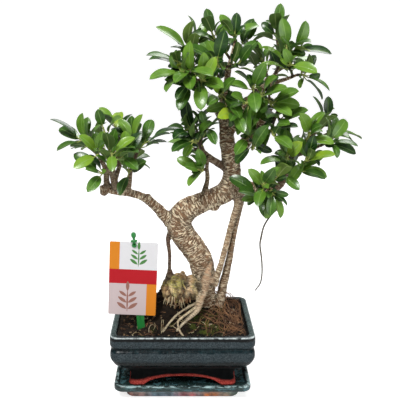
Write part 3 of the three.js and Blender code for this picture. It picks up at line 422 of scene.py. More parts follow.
def outline(size, inset, corner, z, side_steps=SIDE_STEPS):
    """Places round a rectangle with round corners, the same number and order for every size."""
    half_x, half_y = size[0] / 2 - inset, size[1] / 2 - inset
    corners = [(half_x - corner, half_y - corner), (corner - half_x, half_y - corner),
               (corner - half_x, corner - half_y), (half_x - corner, corner - half_y)]
    places = []
    for quarter, (x, y) in enumerate(corners):
        for step in range(CORNER_STEPS + 1):
            angle = (quarter + step / CORNER_STEPS) * math.pi / 2
            places.append(Vector((x + corner * math.cos(angle), y + corner * math.sin(angle), z)))
        next_x, next_y = corners[(quarter + 1) % 4]
        angle = (quarter + 1) * math.pi / 2
        end = Vector((next_x + corner * math.cos(angle), next_y + corner * math.sin(angle), z))
        start = places[-1].copy()
        places += [start.lerp(end, step / side_steps) for step in range(1, side_steps)]
    return places


def round_outline(radius, z):
    """The same places brought onto a circle."""
    square = outline(BOWL, 0, BOWL_CORNER, 0)
    return [Vector((place.x, place.y, 0)).normalized() * radius + UP * z for place in square]


def extruded(bm, ring, places):
    """Extrudes a closed ring of vertices, and puts each new one at its place."""
    edges = [bm.edges.get((a, b)) for a, b in zip(ring, ring[1:] + ring[:1])]
    made = bmesh.ops.extrude_edge_only(bm, edges=edges)["geom"]
    fresh = {vert for vert in made if isinstance(vert, bmesh.types.BMVert)}
    following = []
    for vert in ring:
        neighbours = [edge.other_vert(vert) for edge in vert.link_edges]
        following.append(next(other for other in neighbours if other in fresh))
    for vert, place in zip(following, places):
        vert.co = place
    return following


def skin(rows, closed=False):
    """A skin through rows of places, extruded from the first to the last, and closed into a solid."""
    bm = bmesh.new()
    first = bmesh.ops.create_circle(bm, segments=len(rows[0]), radius=1, cap_ends=False)["verts"]
    for vert, place in zip(first, rows[0]):
        vert.co = place
    ring = first
    for row in rows[1:]:
        ring = extruded(bm, ring, row)
    if closed:
        ends = [bm.edges.get((a, b)) for loop in (first, ring) for a, b in zip(loop, loop[1:] + loop[:1])]
        bmesh.ops.bridge_loops(bm, edges=ends)
    else:
        for loop in (first, ring):
            bm.faces.new(loop)
    bmesh.ops.recalc_face_normals(bm, faces=bm.faces)
    return bm


# Shader nodes

def rgb(red, green, blue):
    """A colour in steps of 0 to 255, as the shader takes it."""
    shares = [value / 255 for value in (red, green, blue)]
    return (*(s / 12.92 if s <= 0.04 else ((s + 0.055) / 1.055) ** 2.4 for s in shares), 1.0)


def fill(tree, made, inputs):
    """Sets a node's inputs, or links those that are given as outputs of other nodes."""
    for key, value in inputs.items():
        if isinstance(value, bpy.types.NodeSocket):
            tree.links.new(value, made.inputs[key])
        else:
            made.inputs[key].default_value = value


def node(tree, kind, inputs=None, output=0, **settings):
    """Adds a shader node and gives one of its outputs."""
    made = tree.nodes.new("ShaderNode" + kind)
    for key, value in settings.items():
        setattr(made, key, value)
    fill(tree, made, inputs or {})
    return made.outputs[output]


def place_on_piece(tree):
    return node(tree, "TexCoord", output="Object")


def attribute(tree, name, output="Fac"):
    return node(tree, "Attribute", output=output, attribute_name=name)


def stretched(tree, where, scale):
    return node(tree, "Mapping", {"Vector": where, "Scale": scale})


def grain(tree, where, scale, detail=2.0, roughness=0.5, distortion=0.0):
    """Cloudy noise, with its scale in lumps a metre."""
    return node(tree, "TexNoise", {"Vector": where, "Scale": scale, "Detail": detail,
                                   "Roughness": roughness, "Distortion": distortion})


def share(tree, value, low, high, start=0.0, end=1.0):
    """A value brought from one range to another and held there."""
    return node(tree, "MapRange", {"Value": value, "From Min": low, "From Max": high,
                                   "To Min": start, "To Max": end})


def sums(tree, operation, first, second=0.0):
    return node(tree, "Math", {0: first, 1: second}, operation=operation)


def times(tree, first, second):
    return sums(tree, "MULTIPLY", first, second)


def plus(tree, first, second):
    return sums(tree, "ADD", first, second)


def blend(tree, amount, low, high):
    return node(tree, "Mix", {0: amount, 6: low, 7: high}, output=2, data_type="RGBA")


def parts(tree, vector):
    """The X, Y and Z of a vector."""
    split = tree.nodes.new("ShaderNodeSeparateXYZ")
    tree.links.new(vector, split.inputs[0])
    return split.outputs


def steps_of(tree, value, stops):
    """A colour ramp from (place, colour) stops."""
    made = tree.nodes.new("ShaderNodeValToRGB")
    elements = made.color_ramp.elements
    while len(elements) < len(stops):
        elements.new(1.0)
    for element, (at, colour) in zip(elements, stops):
        element.position = at
        element.color = colour
    tree.links.new(value, made.inputs[0])
    return made.outputs[0]


def finish_of(name, build, roughness, **constants):
    """A material: build gives its colour, and may give links for other sockets."""
    material = bpy.data.materials.new(name)
    material.use_nodes = True
    tree = material.node_tree
    shader = tree.nodes["Principled BSDF"]
    shader.inputs["Roughness"].default_value = roughness
    for key, value in constants.items():
        shader.inputs[key.replace("_", " ")].default_value = value
    fill(tree, shader, build(tree))
    return material


def finish(roughness, **constants):
    """Turns a function that builds a colour into one that makes the material of the same name."""
    def maker(build):
        return lambda: finish_of(build.__name__, build, roughness, **constants)
    return maker


def bump(tree, height, distance):
    return node(tree, "Bump", {"Height": height, "Distance": distance, "Strength": 1.0})


def new_group(name, inputs, outputs):
    """A shader node group with named inputs and outputs, as {name: (socket type, default)}."""
    group = bpy.data.node_groups.new(name, "ShaderNodeTree")
    for key, (kind, value) in inputs.items():
        socket = group.interface.new_socket(key, in_out="INPUT", socket_type="NodeSocket" + kind)
        if value is not None:
            socket.default_value = value
    for key, kind in outputs.items():
        group.interface.new_socket(key, in_out="OUTPUT", socket_type="NodeSocket" + kind)
    return group, group.nodes.new("NodeGroupInput"), group.nodes.new("NodeGroupOutput")


def use_group(tree, group, inputs):
    """Places a group in a material, and gives its outputs."""
    made = tree.nodes.new("ShaderNodeGroup")
    made.node_tree = group
    fill(tree, made, inputs)
    return made.outputs


# Saucer and bowl

def saucer_glazed():
    rows = [outline(SAUCER_FOOT, inset, corner, z) for inset, z, corner in SAUCER_FOOT_ROWS]
    rows += [outline(SAUCER_LIP, inset, corner, z) for inset, z, corner in SAUCER_LIP_ROWS]
    rows.append(outline(SAUCER_LIP, 24, 8, SAUCER_FLOOR))
    finished("saucer_glazed", mesh_of(skin(rows)), [saucer_glaze()], ["saucer"])


def arch_curve(half):
    """Points of half an arch, from its middle out to the foot, as (distance from the middle, lift)."""
    foot, joint = (half + ARCH["flare"], -2), (half - ARCH["bend"], ARCH["shoulder"])
    curve = []
    upper = ((0, ARCH["crown"]), (half / 2, ARCH["crown"]), joint)
    lower = (joint, (half, ARCH["spring"]), foot)
    for ends in (upper, lower):
        for step in range(13):
            t = step / 12
            shares = ((1 - t) ** 2, 2 * t * (1 - t), t ** 2)
            curve.append([sum(part * end[axis] for part, end in zip(shares, ends)) for axis in (0, 1)])
    return curve


FRONT_ARCH = arch_curve(BOWL[0] / 2 - ARCH["end"])
SIDE_ARCH = arch_curve(BOWL[1] / 2 - ARCH["end"])


def arch_lift(place):
    """How far the lower edge of the skirt is lifted at a place on it."""
    at_front = abs(place.y) / BOWL[1] * BOWL[0] > abs(place.x) or abs(place.y) > 49
    distance, curve = (abs(place.x), FRONT_ARCH) if at_front else (abs(place.y), SIDE_ARCH)
    return max(0, float(np.interp(distance, [row[0] for row in curve], [row[1] for row in curve])))


def skirt_row(inset, above, rise=0.0, waist=0.0):
    """A row of the skirt: this far above its arched edge, then a share of the way up to the bowl."""
    row = []
    waisted = outline(BOWL, inset + waist, SKIRT_CORNER, 0)
    for place, pulled in zip(outline(BOWL, inset, SKIRT_CORNER, 0), waisted):
        edge = SKIRT["bottom"] + arch_lift(place) + above
        z = edge + (SKIRT["under"] - edge) * rise
        pull = math.sin(math.pi * min(max((z - 18) / 24, 0), 1))
        row.append(place.lerp(pulled, pull) + UP * z)
    return row


def lip_share(place, above):
    """How much the red brown glaze shows on the skirt, this far above its edge: higher up on the feet."""
    reach = LIP_REACH + LIP_ON_FEET * (1 - min(arch_lift(place) / ARCH["shoulder"], 1))
    return min(max(1.3 - above / reach, 0), 1)


def bowl_glazed():
    """The bowl in one skin: up the outside, over the rim, down to the drain hole, and round the skirt."""
    rows = [outline(BOWL, inset, BOWL_CORNER - inset * CORNER_TAPER, z) for inset, z in BOWL_OUTSIDE]
    rim_edge = len(rows) - 2
    rows += [outline(BOWL, inset, INSIDE_CORNER, z) for inset, z in BOWL_INSIDE]
    drain, floor, under = SKIRT["drain"], SKIRT["floor"], SKIRT["under"]
    rows += [outline(BOWL, 50, SKIRT_CORNER, floor)]
    rows += [round_outline(radius, z) for radius, z in (
        (drain + 2.5, floor), (drain + 0.8, floor - 0.3), (drain, floor - 1.2), (drain, under + 1.2),
        (drain + 0.8, under + 0.3), (drain + 2.5, under),
    )]
    inner, outer = SKIRT["inner"], SKIRT["outer"]
    rows += [outline(BOWL, inner + further, SKIRT_CORNER, under) for further in (17, 1.5)]
    rows += [skirt_row(inner, 1.8, rise) for rise in (0.9, 0.5, 0)]
    skirt = len(rows)
    edge = [(inner - 0.5, 0.6, 0), (inner - 1.7, 0, 0), (outer + 2.2, 0, 0), (outer + 0.6, 0.3, 0),
            (outer - 0.4, 1.3, 0), (outer - 0.5, 2.4, 1), (outer - 0.1, 3.4, 1.5), (outer + 0.2, 4.6, 1.8),
            (outer + 0.4, 6, 1.8)]
    rows += [skirt_row(inset, above, 0, waist) for inset, above, waist in edge]
    rows += [skirt_row(outer + 0.4, 6, rise, 1.8) for rise in (0.4, 0.75)]
    bm = skin(rows, closed=True)
    lip, worn = (bm.verts.layers.float.new(name) for name in ("lip", "worn"))
    bm.verts.ensure_lookup_table()
    for index, vert in enumerate(bm.verts):
        row, place = index // len(rows[0]), rows[0][index % len(rows[0])]
        # The rim's outer edge row gets a pale broken line: glaze worn thin over the edge, and a painted
        # highlight.
        vert[worn] = 1 if row == rim_edge else 0
        if row >= skirt:
            above = edge[row - skirt][1] if row - skirt < len(edge) else 20
            vert[lip] = lip_share(place, above)
    finished("bowl_glazed", mesh_of(bm), [bowl_glaze()], ["bowl"])


# Compost

def soil_height(x, y):
    """The same mounds as the solid's."""
    wall = SOIL["wall"]
    from_wall = max(0, 1 - max(abs(x) / (BOWL[0] / 2 - wall), abs(y) / (BOWL[1] / 2 - wall)))
    rise = sum(height * math.exp(-((x - at_x) ** 2 + (y - at_y) ** 2) / (2 * spread ** 2))
               for at_x, at_y, height, spread in MOUNDS)
    lumps = math.sin(0.31 * x + 1.3) * math.cos(0.27 * y) + math.sin(0.13 * x - 0.19 * y)
    t = min(from_wall / SOIL["level"], 1)
    return SOIL["edge"] + (rise + lumps * SOIL["rough"]) * t * t * (3 - 2 * t) + SOIL["dome"] * from_wall


def crumble(x, y):
    """The height of the crumbs on top of the mounds."""
    coarse = noise.noise(Vector((x * 0.16, y * 0.16, 4)))
    lumps = 1 - noise.voronoi(Vector((x * 0.3, y * 0.3, 0)))[0][0]
    fine = noise.noise(Vector((x * 0.9, y * 0.9, 9)))
    return 0.8 * coarse + 1.5 * max(lumps, 0) ** 1.5 + 0.35 * fine - 0.9


def bed_height(x, y):
    return soil_height(x, y) + crumble(x, y)


def set_down(x, y, lift):
    """Sets something down on the bed."""
    return Matrix.Translation((x, y, bed_height(x, y) + lift))


def leaning(chance, most, axis):
    return Matrix.Rotation(chance.uniform(-most, most), 4, axis)


def compost_bed():
    steps = SIDE_STEPS * 3

    def bed_row(reach):
        edge = outline(BOWL, SOIL["wall"], INSIDE_CORNER, 0, steps)
        places = [(place.x * reach, place.y * reach) for place in edge]
        return [Vector((x, y, bed_height(x, y))) for x, y in places]

    rows = [bed_row(0.004 + 0.996 * step / BED_ROWS) for step in range(BED_ROWS + 1)]
    below = ((9.9, 90), (11.4, 64), (17.4, 52), (30.4, SOIL["bottom"]))
    rows += [outline(BOWL, inset, INSIDE_CORNER, z, steps) for inset, z in below]
    finished("compost_bed", mesh_of(skin(rows)), [compost_crumb()], ["compost"])


def compost_crumbs():
    """Bark chips, clods and bits of grit lying loose on the bed."""
    chance = random.Random(41)
    bm = bmesh.new()
    tone = bm.verts.layers.float.new("tone")
    reach_x, reach_y = CRUMBS["reach"]
    for _ in range(CRUMBS["count"]):
        x, y = chance.uniform(-reach_x, reach_x), chance.uniform(-reach_y, reach_y)
        size = chance.uniform(CRUMBS["smallest"], CRUMBS["largest"]) ** 2 * CRUMBS["size"]
        place = set_down(x, y, size * 0.2)
        turn = Matrix.Rotation(chance.uniform(0, 6.3), 4, "Z") @ leaning(chance, 0.6, "X")
        sides = (chance.uniform(0.9, 1.7), chance.uniform(0.7, 1.1), chance.uniform(0.5, 0.9), 1)
        made = bmesh.ops.create_icosphere(bm, subdivisions=1, radius=size,
                                          matrix=place @ turn @ Matrix.Diagonal(sides))["verts"]
        shade = chance.random() ** 2
        for vert in made:
            vert[tone] = shade
            dent = CRUMBS["dented"]
            vert.co += Vector([chance.uniform(-dent, dent) * size for _ in range(3)])
    finished("compost_crumbs", mesh_of(bm), [crumb_bark()], sharp=35)


def strewn(chance, x, y, length, lift, radius, bend):
    """A loose fibre or root that lies over the bed in an arc."""
    heading = chance.uniform(0, 2 * math.pi)
    turning = chance.uniform(-bend, bend)
    reach_x, reach_y = LITTER_REACH
    line = []
    for step in range(6):
        along = step / 5
        z = bed_height(x, y) + lift * math.sin(math.pi * along) + radius * 0.2
        x = min(max(x, -reach_x), reach_x)
        y = min(max(y, -reach_y), reach_y)
        line.append((x, y, z, radius * (1 - 0.5 * along)))
        x += math.cos(heading) * length / 5
        y += math.sin(heading) * length / 5
        heading += turning * 0.5
    return smooth_line(line, 3)


def strewn_lots(chance, lots, bend):
    """Every fibre or root of a table of lots."""
    lines = []
    for count, kind, x, y, length, lift, radius in lots:
        draw = chance.gauss if kind == "tuft" else chance.uniform
        for _ in range(count):
            lines.append(strewn(chance, draw(*x), draw(*y), chance.uniform(*length), chance.uniform(*lift),
                                chance.uniform(*radius), bend))
    return lines


def compost_fibres(fibre):
    """Brown fibres in tufts at the right of the tree and behind it, and strewn over the rest of the bed."""
    lines = strewn_lots(random.Random(7), FIBRE_LOTS, 0.9)
    finished("compost_fibres", tubes(lines, 4), [fibre])


def moss_tufts():
    """Short green blades in low cushions, at the front right and here and there behind."""
    chance = random.Random(61)
    bm = bmesh.new()
    cushions = []
    for count, x, y in MOSS_CUSHIONS:
        cushions += [(chance.uniform(*x), chance.uniform(*y)) for _ in range(count)]
    for middle_x, middle_y in cushions:
        for _ in range(MOSS_BLADES["count"]):
            x = chance.gauss(middle_x, MOSS_BLADES["wide"])
            y = chance.gauss(middle_y, MOSS_BLADES["deep"])
            if abs(x) > LITTER_REACH[0] or abs(y) > LITTER_REACH[1]:
                continue
            tall = chance.uniform(MOSS_BLADES["shortest"], MOSS_BLADES["tallest"])
            place = set_down(x, y, tall * 0.35)
            lean = leaning(chance, MOSS_BLADES["lean"], "X") @ leaning(chance, MOSS_BLADES["lean"], "Y")
            bmesh.ops.create_cone(bm, cap_ends=True, segments=3, radius1=0.3, radius2=0.06, depth=tall,
                                  matrix=place @ lean)
    finished("moss_tufts", mesh_of(bm), [cloudy("moss_green")])


def surface_roots(pale):
    """Pale bits of fine root, most of them at the front and the left."""
    lines = strewn_lots(random.Random(23), PALE_ROOT_LOTS, 0.8)
    finished("surface_roots", tubes(lines, 6), [pale])


# Label

def label_place(lean, height=0.0, along=0.0):
    """Where a piece of the label stands: turned by its lean, at a height on the stake."""
    foot = Vector(LABEL_FOOT) + Vector((-math.sin(along), 0, math.cos(along))) * height
    return Matrix.Translation(foot) @ Matrix.Rotation(lean, 4, "Y")


def pushed_out(bm, face, distance):
    """Extrudes a face along Y, and gives its new vertices."""
    pushed = bmesh.ops.extrude_face_region(bm, geom=[face])["geom"]
    ends = [vert for vert in pushed if isinstance(vert, bmesh.types.BMVert)]
    bmesh.ops.translate(bm, vec=(0, distance, 0), verts=ends)
    return ends


def plate(bm, half_widths, front, back, round_edge):
    """A flat bar from y front to back, given as (half width, height) going up."""
    places = half_widths + [(-half, z) for half, z in reversed(half_widths)]
    made = bmesh.ops.create_circle(bm, segments=len(places), radius=1, cap_ends=True)["verts"]
    for vert, (x, z) in zip(made, places):
        vert.co = (x, front, z)
    face = next(face for face in made[0].link_faces if len(face.verts) == len(places))
    ends = pushed_out(bm, face, back - front)
    own = set(made) | set(ends)
    edges = [edge for edge in bm.edges if edge.verts[0] in own and edge.calc_face_angle(0) > 0.5]
    bmesh.ops.bevel(bm, geom=edges, offset=round_edge, segments=2, profile=0.5, affect="EDGES", material=-1)


def label_stake_green():
    bm = bmesh.new()
    top, wide, slim = STAKE["top"], STAKE["half"], STAKE["slim"]
    middle, half = STAKE["behind"], STAKE["thick"] / 2
    blade = [(0.6, -STAKE["depth"]), (wide, STAKE["point"] - STAKE["depth"]), (wide, STAKE["wide"]),
             (slim + 0.9, STAKE["wide"] + 5), (slim, STAKE["narrow"]), (slim, top - 0.8)]
    plate(bm, blade, middle - half, middle + half, 0.35)
    plate(bm, [(1.3, 12), (1.3, STAKE["wide"] - 8)], middle - half - 0.3, middle + half + 0.5, 0.3)
    plate(bm, [(4.5, top - 1.6), (4.5, top)], -middle - half, middle + half, 0.35)
    plate(bm, [(1.7, STAKE["height"] - 4), (1.7, top - 0.5)], -middle - half, -middle + half, 0.3)
    button = Matrix.Translation((0, -middle, STAKE["height"] - 4)) @ Matrix.Rotation(math.pi / 2, 4, "X")
    disc = bmesh.ops.create_cone(bm, cap_ends=True, segments=28, radius1=3.4, radius2=3.4, depth=1.6,
                                 matrix=button)
    rims = {edge for vert in disc["verts"] for edge in vert.link_edges if edge.calc_face_angle(0) > 1}
    bmesh.ops.bevel(bm, geom=list(rims), offset=0.5, segments=3, profile=0.5, affect="EDGES", material=-1)
    knob = [(0.01, 11.7), (1.3, 11.5), (2.6, 10.6), (3.3, 9), (3.4, 7.4), (3.3, 5.6), (2.7, 4.4), (1.9, 3.4),
            (1.7, 2), (1.8, 0.8), (2.6, 0.1), (2.6, -0.6), (0.01, -0.7)]
    profile = [bm.verts.new((radius, 0, top + z)) for radius, z in knob]
    edges = [bm.edges.new(pair) for pair in zip(profile, profile[1:])]
    bmesh.ops.spin(bm, geom=profile + edges, cent=(0, 0, 0), axis=(0, 0, 1), angle=2 * math.pi,
                   steps=28, use_merge=True, use_duplicate=False)
    head = [vert for vert in bm.verts if vert.co.z > top + 0.01 and math.hypot(vert.co.x, vert.co.y) < 3.5]
    bmesh.ops.scale(bm, vec=(1, 0.72, 1), verts=head)
    bmesh.ops.remove_doubles(bm, verts=bm.verts, dist=0.012)
    bmesh.ops.recalc_face_normals(bm, faces=bm.faces)
    bmesh.ops.transform(bm, matrix=label_place(-STAKE_LEAN), verts=bm.verts)
    finished("label_stake_green", mesh_of(bm), [stake_green()], ["label_stake"], 40)


def leaf_print(bm, place, angle, length, ink, material, wide=0.34):
    """One leaf of the printed motif: a pointed oval of a little ink on the front of the card."""
    made = bmesh.ops.create_circle(bm, segments=16, radius=0.5, cap_ends=True)["verts"]
    for vert in made:
        along, across = vert.co.x, vert.co.y
        vert.co = (along * length, 0, across * length * wide * (1 - 1.6 * along * along))
    face = next(face for face in made[0].link_faces if len(face.verts) == len(made))
    every = set(made) | set(pushed_out(bm, face, -ink))
    turn = Matrix.Translation(place) @ Matrix.Rotation(-angle, 4, "Y")
    outward = Matrix.Translation((length / 2, 0, 0))
    bmesh.ops.transform(bm, matrix=turn @ outward, verts=list(every))
    for face in {face for vert in every for face in vert.link_faces}:
        face.material_index = material


def sprig_print(bm, foot, length, leaf_length, pairs, material):
    """A printed sprig: pairs of leaves up a stem, and one at its end, each a little proud of the last."""
    front = -CARD["thick"] / 2
    leaf_print(bm, (foot[0], front, foot[1]), math.pi / 2, length * 1.05, 0.03, material, 0.07)
    for step in range(pairs):
        z = foot[1] + length * (step + 0.5) / (pairs + 0.4)
        size = leaf_length * (1 - 0.1 * step)
        for hand in (1, -1):
            angle = math.pi / 2 - hand * 0.95
            leaf_print(bm, (foot[0] + hand * 1.2, front, z), angle, size, 0.06 + 0.03 * step, material)
    leaf_print(bm, (foot[0], front, foot[1] + length * 0.98), math.pi / 2, leaf_length * 0.9, 0.2, material)


def label_card_printed():
    """The card with its colour fields, and a plain sprig printed on two of them."""
    bm = bmesh.new()
    wide, tall = CARD["x"], CARD["z"]
    bmesh.ops.create_cube(bm, size=1)
    bmesh.ops.scale(bm, vec=(wide, CARD["thick"], tall), verts=bm.verts)
    corners = [edge for edge in bm.edges if abs((edge.verts[0].co - edge.verts[1].co).y) > 0.5]
    bmesh.ops.bevel(bm, geom=corners, offset=CARD["corner"], segments=5, profile=0.5, affect="EDGES",
                    material=-1)
    left, right = wide * (FIELDS["left"] - 0.5), wide * (FIELDS["right"] - 0.5)
    band_top, band_bottom = tall * (0.5 - FIELDS["band_top"]), tall * (0.5 - FIELDS["band_bottom"])
    for across, up in ((left, None), (right, None), (None, band_top), (None, band_bottom)):
        normal, place = ((1, 0, 0), (across, 0, 0)) if up is None else ((0, 0, 1), (0, 0, up))
        every = list(bm.verts) + list(bm.edges) + list(bm.faces)
        bmesh.ops.bisect_plane(bm, geom=every, dist=1e-5, plane_co=place, plane_no=normal)
    for face in bm.faces:
        centre = face.calc_center_median()
        if face.normal.y > -0.9:
            face.material_index = WHITE
        elif centre.z > band_top:
            face.material_index = ORANGE if centre.x < left else WHITE
        elif centre.z > band_bottom:
            face.material_index = RED
        else:
            face.material_index = ORANGE if centre.x > right else GREY
    sprig_print(bm, (left + (wide / 2 - left) / 2, band_top + 4), 25, 13, 3, LEAF_GREEN)
    sprig_print(bm, ((right - wide / 2) / 2, 4 - tall / 2), 32, 16, 3, LEAF_BROWN)
    bmesh.ops.recalc_face_normals(bm, faces=bm.faces)
    bmesh.ops.translate(bm, vec=(0, 0, -tall / 2), verts=bm.verts)
    hung = label_place(CARD_LEAN, STAKE["height"], STAKE_LEAN)
    bmesh.ops.transform(bm, matrix=hung, verts=bm.verts)
    prints = [card_ink(name, colour) for name, colour in INKS]
    finished("label_card_printed", mesh_of(bm), prints, ["label_card"], 30)


# Trunk, branches and roots

# Bark colours, for the trunk and for each limb or root that differs from it, and how much of it the pale
# marks cover.
BARK = (140, 107, 78, 1.0)
BARK_OF = {
    "prop": (84, 56, 42, 0.12), "bulb": (224, 198, 146, 0.15), "bulb_knob": (150, 120, 76, 0.2),
    "bulb_shoulder": (206, 176, 134, 0.25), "prop_foot": (92, 64, 46, 0.1), "front": (184, 148, 116, 0.45),
    "front_thin": (204, 186, 152, 0.2), "front_low": (206, 190, 158, 0.2), "hanging": (88, 82, 74, 0.1),
    "twin_left": (162, 134, 104, 0.7), "twin_right": (124, 96, 70, 0.55), "mid_left": (100, 76, 56, 0.3),
    "rising_left": (106, 86, 62, 0.3), "fan_left": (110, 90, 66, 0.3), "fan_mid": (110, 90, 66, 0.3),
    "fan_right": (110, 90, 66, 0.3), "fan_front": (110, 90, 66, 0.3), "fan_back": (110, 90, 66, 0.3),
    "right_up": (106, 80, 60, 0.3), "right_out": (104, 82, 60, 0.3), "right_back": (104, 82, 60, 0.3),
}
BARK_END = {"front": (216, 202, 172, 0.25)}
# Knobs of old wood too small for the solids, and the ridges that run down the front of the root ball.
KNOBS = [
    (-48, -13, 280, 6.5), (-24, -10, 257, 6), (-108, -17, 289, 5.5), (14, -15, 268, 5), (-21, -9, 242, 5),
    (13, -13, 214, 5), (-8, -14, 228, 5), (45, -3, 266, 7.5), (92, -6, 372, 4.5), (70, -6, 344, 5),
    (33, -12, 290, 4.5), (41, -12, 158, 6),
]
RIDGES = {"count": 8, "first": 1.02, "last": 1.98, "thick": 3.6}
# Crevices in the front of the root ball, pushed in and painted dark as shade, as (start, end, half width),
# the ends given as (x, z).
CREVICES = [
    ((-1, 167), (2, 150), 1.7), ((2, 150), (1, 137), 2.1), ((3, 161), (15, 150), 1.4),
    ((21, 158), (26, 145), 4.2), ((-24, 154), (-13, 139), 1.1), ((11, 147), (12, 135), 1.9),
]
# How far the root ball's gnarled skin reaches from its middle.
GNARLED_REACH = 33
# The bark's relief in millimetres, and how much each kind of unevenness lights or darkens its colour: painted
# light on bumps, and painted shade in wrinkles, furrows, crevices and low on the root ball.
RELIEF = {"wrinkles": 0.5, "lumps": 1.1, "crevice": -2.4, "strands": 1.2, "furrow": 2.2, "gnarl": 1.0}
PAINTED_LIGHT_AND_SHADE = {"wrinkles": 0.35, "lumps": 0.3, "crevice": -0.85, "strands": 1.3, "furrow": 1.35, "gnarl": 0.36}
# Stains on the root ball, as the share of red, green and blue that each takes away.
OLD_STAIN = (0.4, 0.52, 0.6)
ALGAE = (0.38, 0.2, 0.62)
VOXEL = 1.3


def crevice_depth(x, z):
    """How deep a place at the front of the root ball lies in a crevice, from 0 to 1."""
    deepest = 0
    for start, end, width in CREVICES:
        span, place = Vector(end) - Vector(start), Vector((x, z)) - Vector(start)
        along = min(max(place.dot(span) / span.length_squared, 0), 1)
        deepest = max(deepest, math.exp(-((place - span * along).length / width) ** 2))
    return deepest


def bark_colour(row):
    """A colour of the table, with the share of pale marks in the place of its alpha."""
    *colour, marks = row
    return np.array([*rgb(*colour)[:3], marks])


def bark_samples():
    """Places along every limb: centre, half thickness, direction, distance along it, and colour."""
    samples = []
    for name, points in {**LIMBS, **ROOTS}.items():
        line = smooth_line(points, 9)
        own = BARK_OF.get(name, BARK)
        tint, end_tint = bark_colour(own), bark_colour(BARK_END.get(name, own))
        travelled = 40.0 * len(samples)
        for step, (here, there) in enumerate(zip(line, line[1:])):
            axis = Vector(there[:3] - here[:3])
            travelled += axis.length
            axis.normalize()
            mixed = tint + (end_tint - tint) * min((step / len(line)) ** 2 * 2, 1)
            samples.append((here[:3], here[3], axis, travelled % 4000, mixed))
    for name, (centre, size) in SWELLINGS.items():
        tint = bark_colour(BARK_OF.get(name, BARK))
        axis = Vector((0.3, 0.1, 1)).normalized()
        samples.append((np.array(centre, float), sum(size) / 3, axis, 77.0, tint))
    return samples


def square_to(axis, wish):
    return (wish - axis * wish.dot(axis)).normalized()


def rows_of(mesh, what):
    """The places or normals of a mesh's vertices, as rows of x, y and z."""
    values = np.empty(len(mesh.vertices) * 3)
    mesh.vertices.foreach_get(what, values)
    return values.reshape(-1, 3)


def limb_marks(spots):
    """For every spot of the bark: its place round and along the nearest limb, and its tint."""
    samples = bark_samples()
    centres, radii, axes, travelled, tints = (np.array(column) for column in zip(*samples))
    ones = np.array([square_to(sample[2], Vector((0.1, -1, 0.1))) for sample in samples])
    twos = np.cross(axes, ones)
    places = np.empty((len(spots), 3))
    colours = np.ones((len(spots), 4))
    for start in range(0, len(spots), 4000):
        batch = slice(start, start + 4000)
        gaps = np.linalg.norm(spots[batch][:, None, :] - centres[None, :, :], axis=2) - radii
        nearest = gaps.argmin(axis=1)
        offsets = spots[batch] - centres[nearest]
        for column, directions in enumerate((ones, twos, axes)):
            places[batch, column] = np.einsum("ij,ij->i", offsets, directions[nearest])
        places[batch, 2] += travelled[nearest]
        weights = (0.6 + gaps - gaps.min(axis=1)[:, None]) ** -4
        colours[batch] = weights @ tints / weights.sum(axis=1)[:, None]
    return places, colours


def patches_at(spot, scale, base, contrast, shift=(0, 0, 0)):
    """How much a stain covers a spot of the root ball, from 0 to 1."""
    return min(max(base + contrast * noise.noise(spot * scale + Vector(shift)), 0), 1)


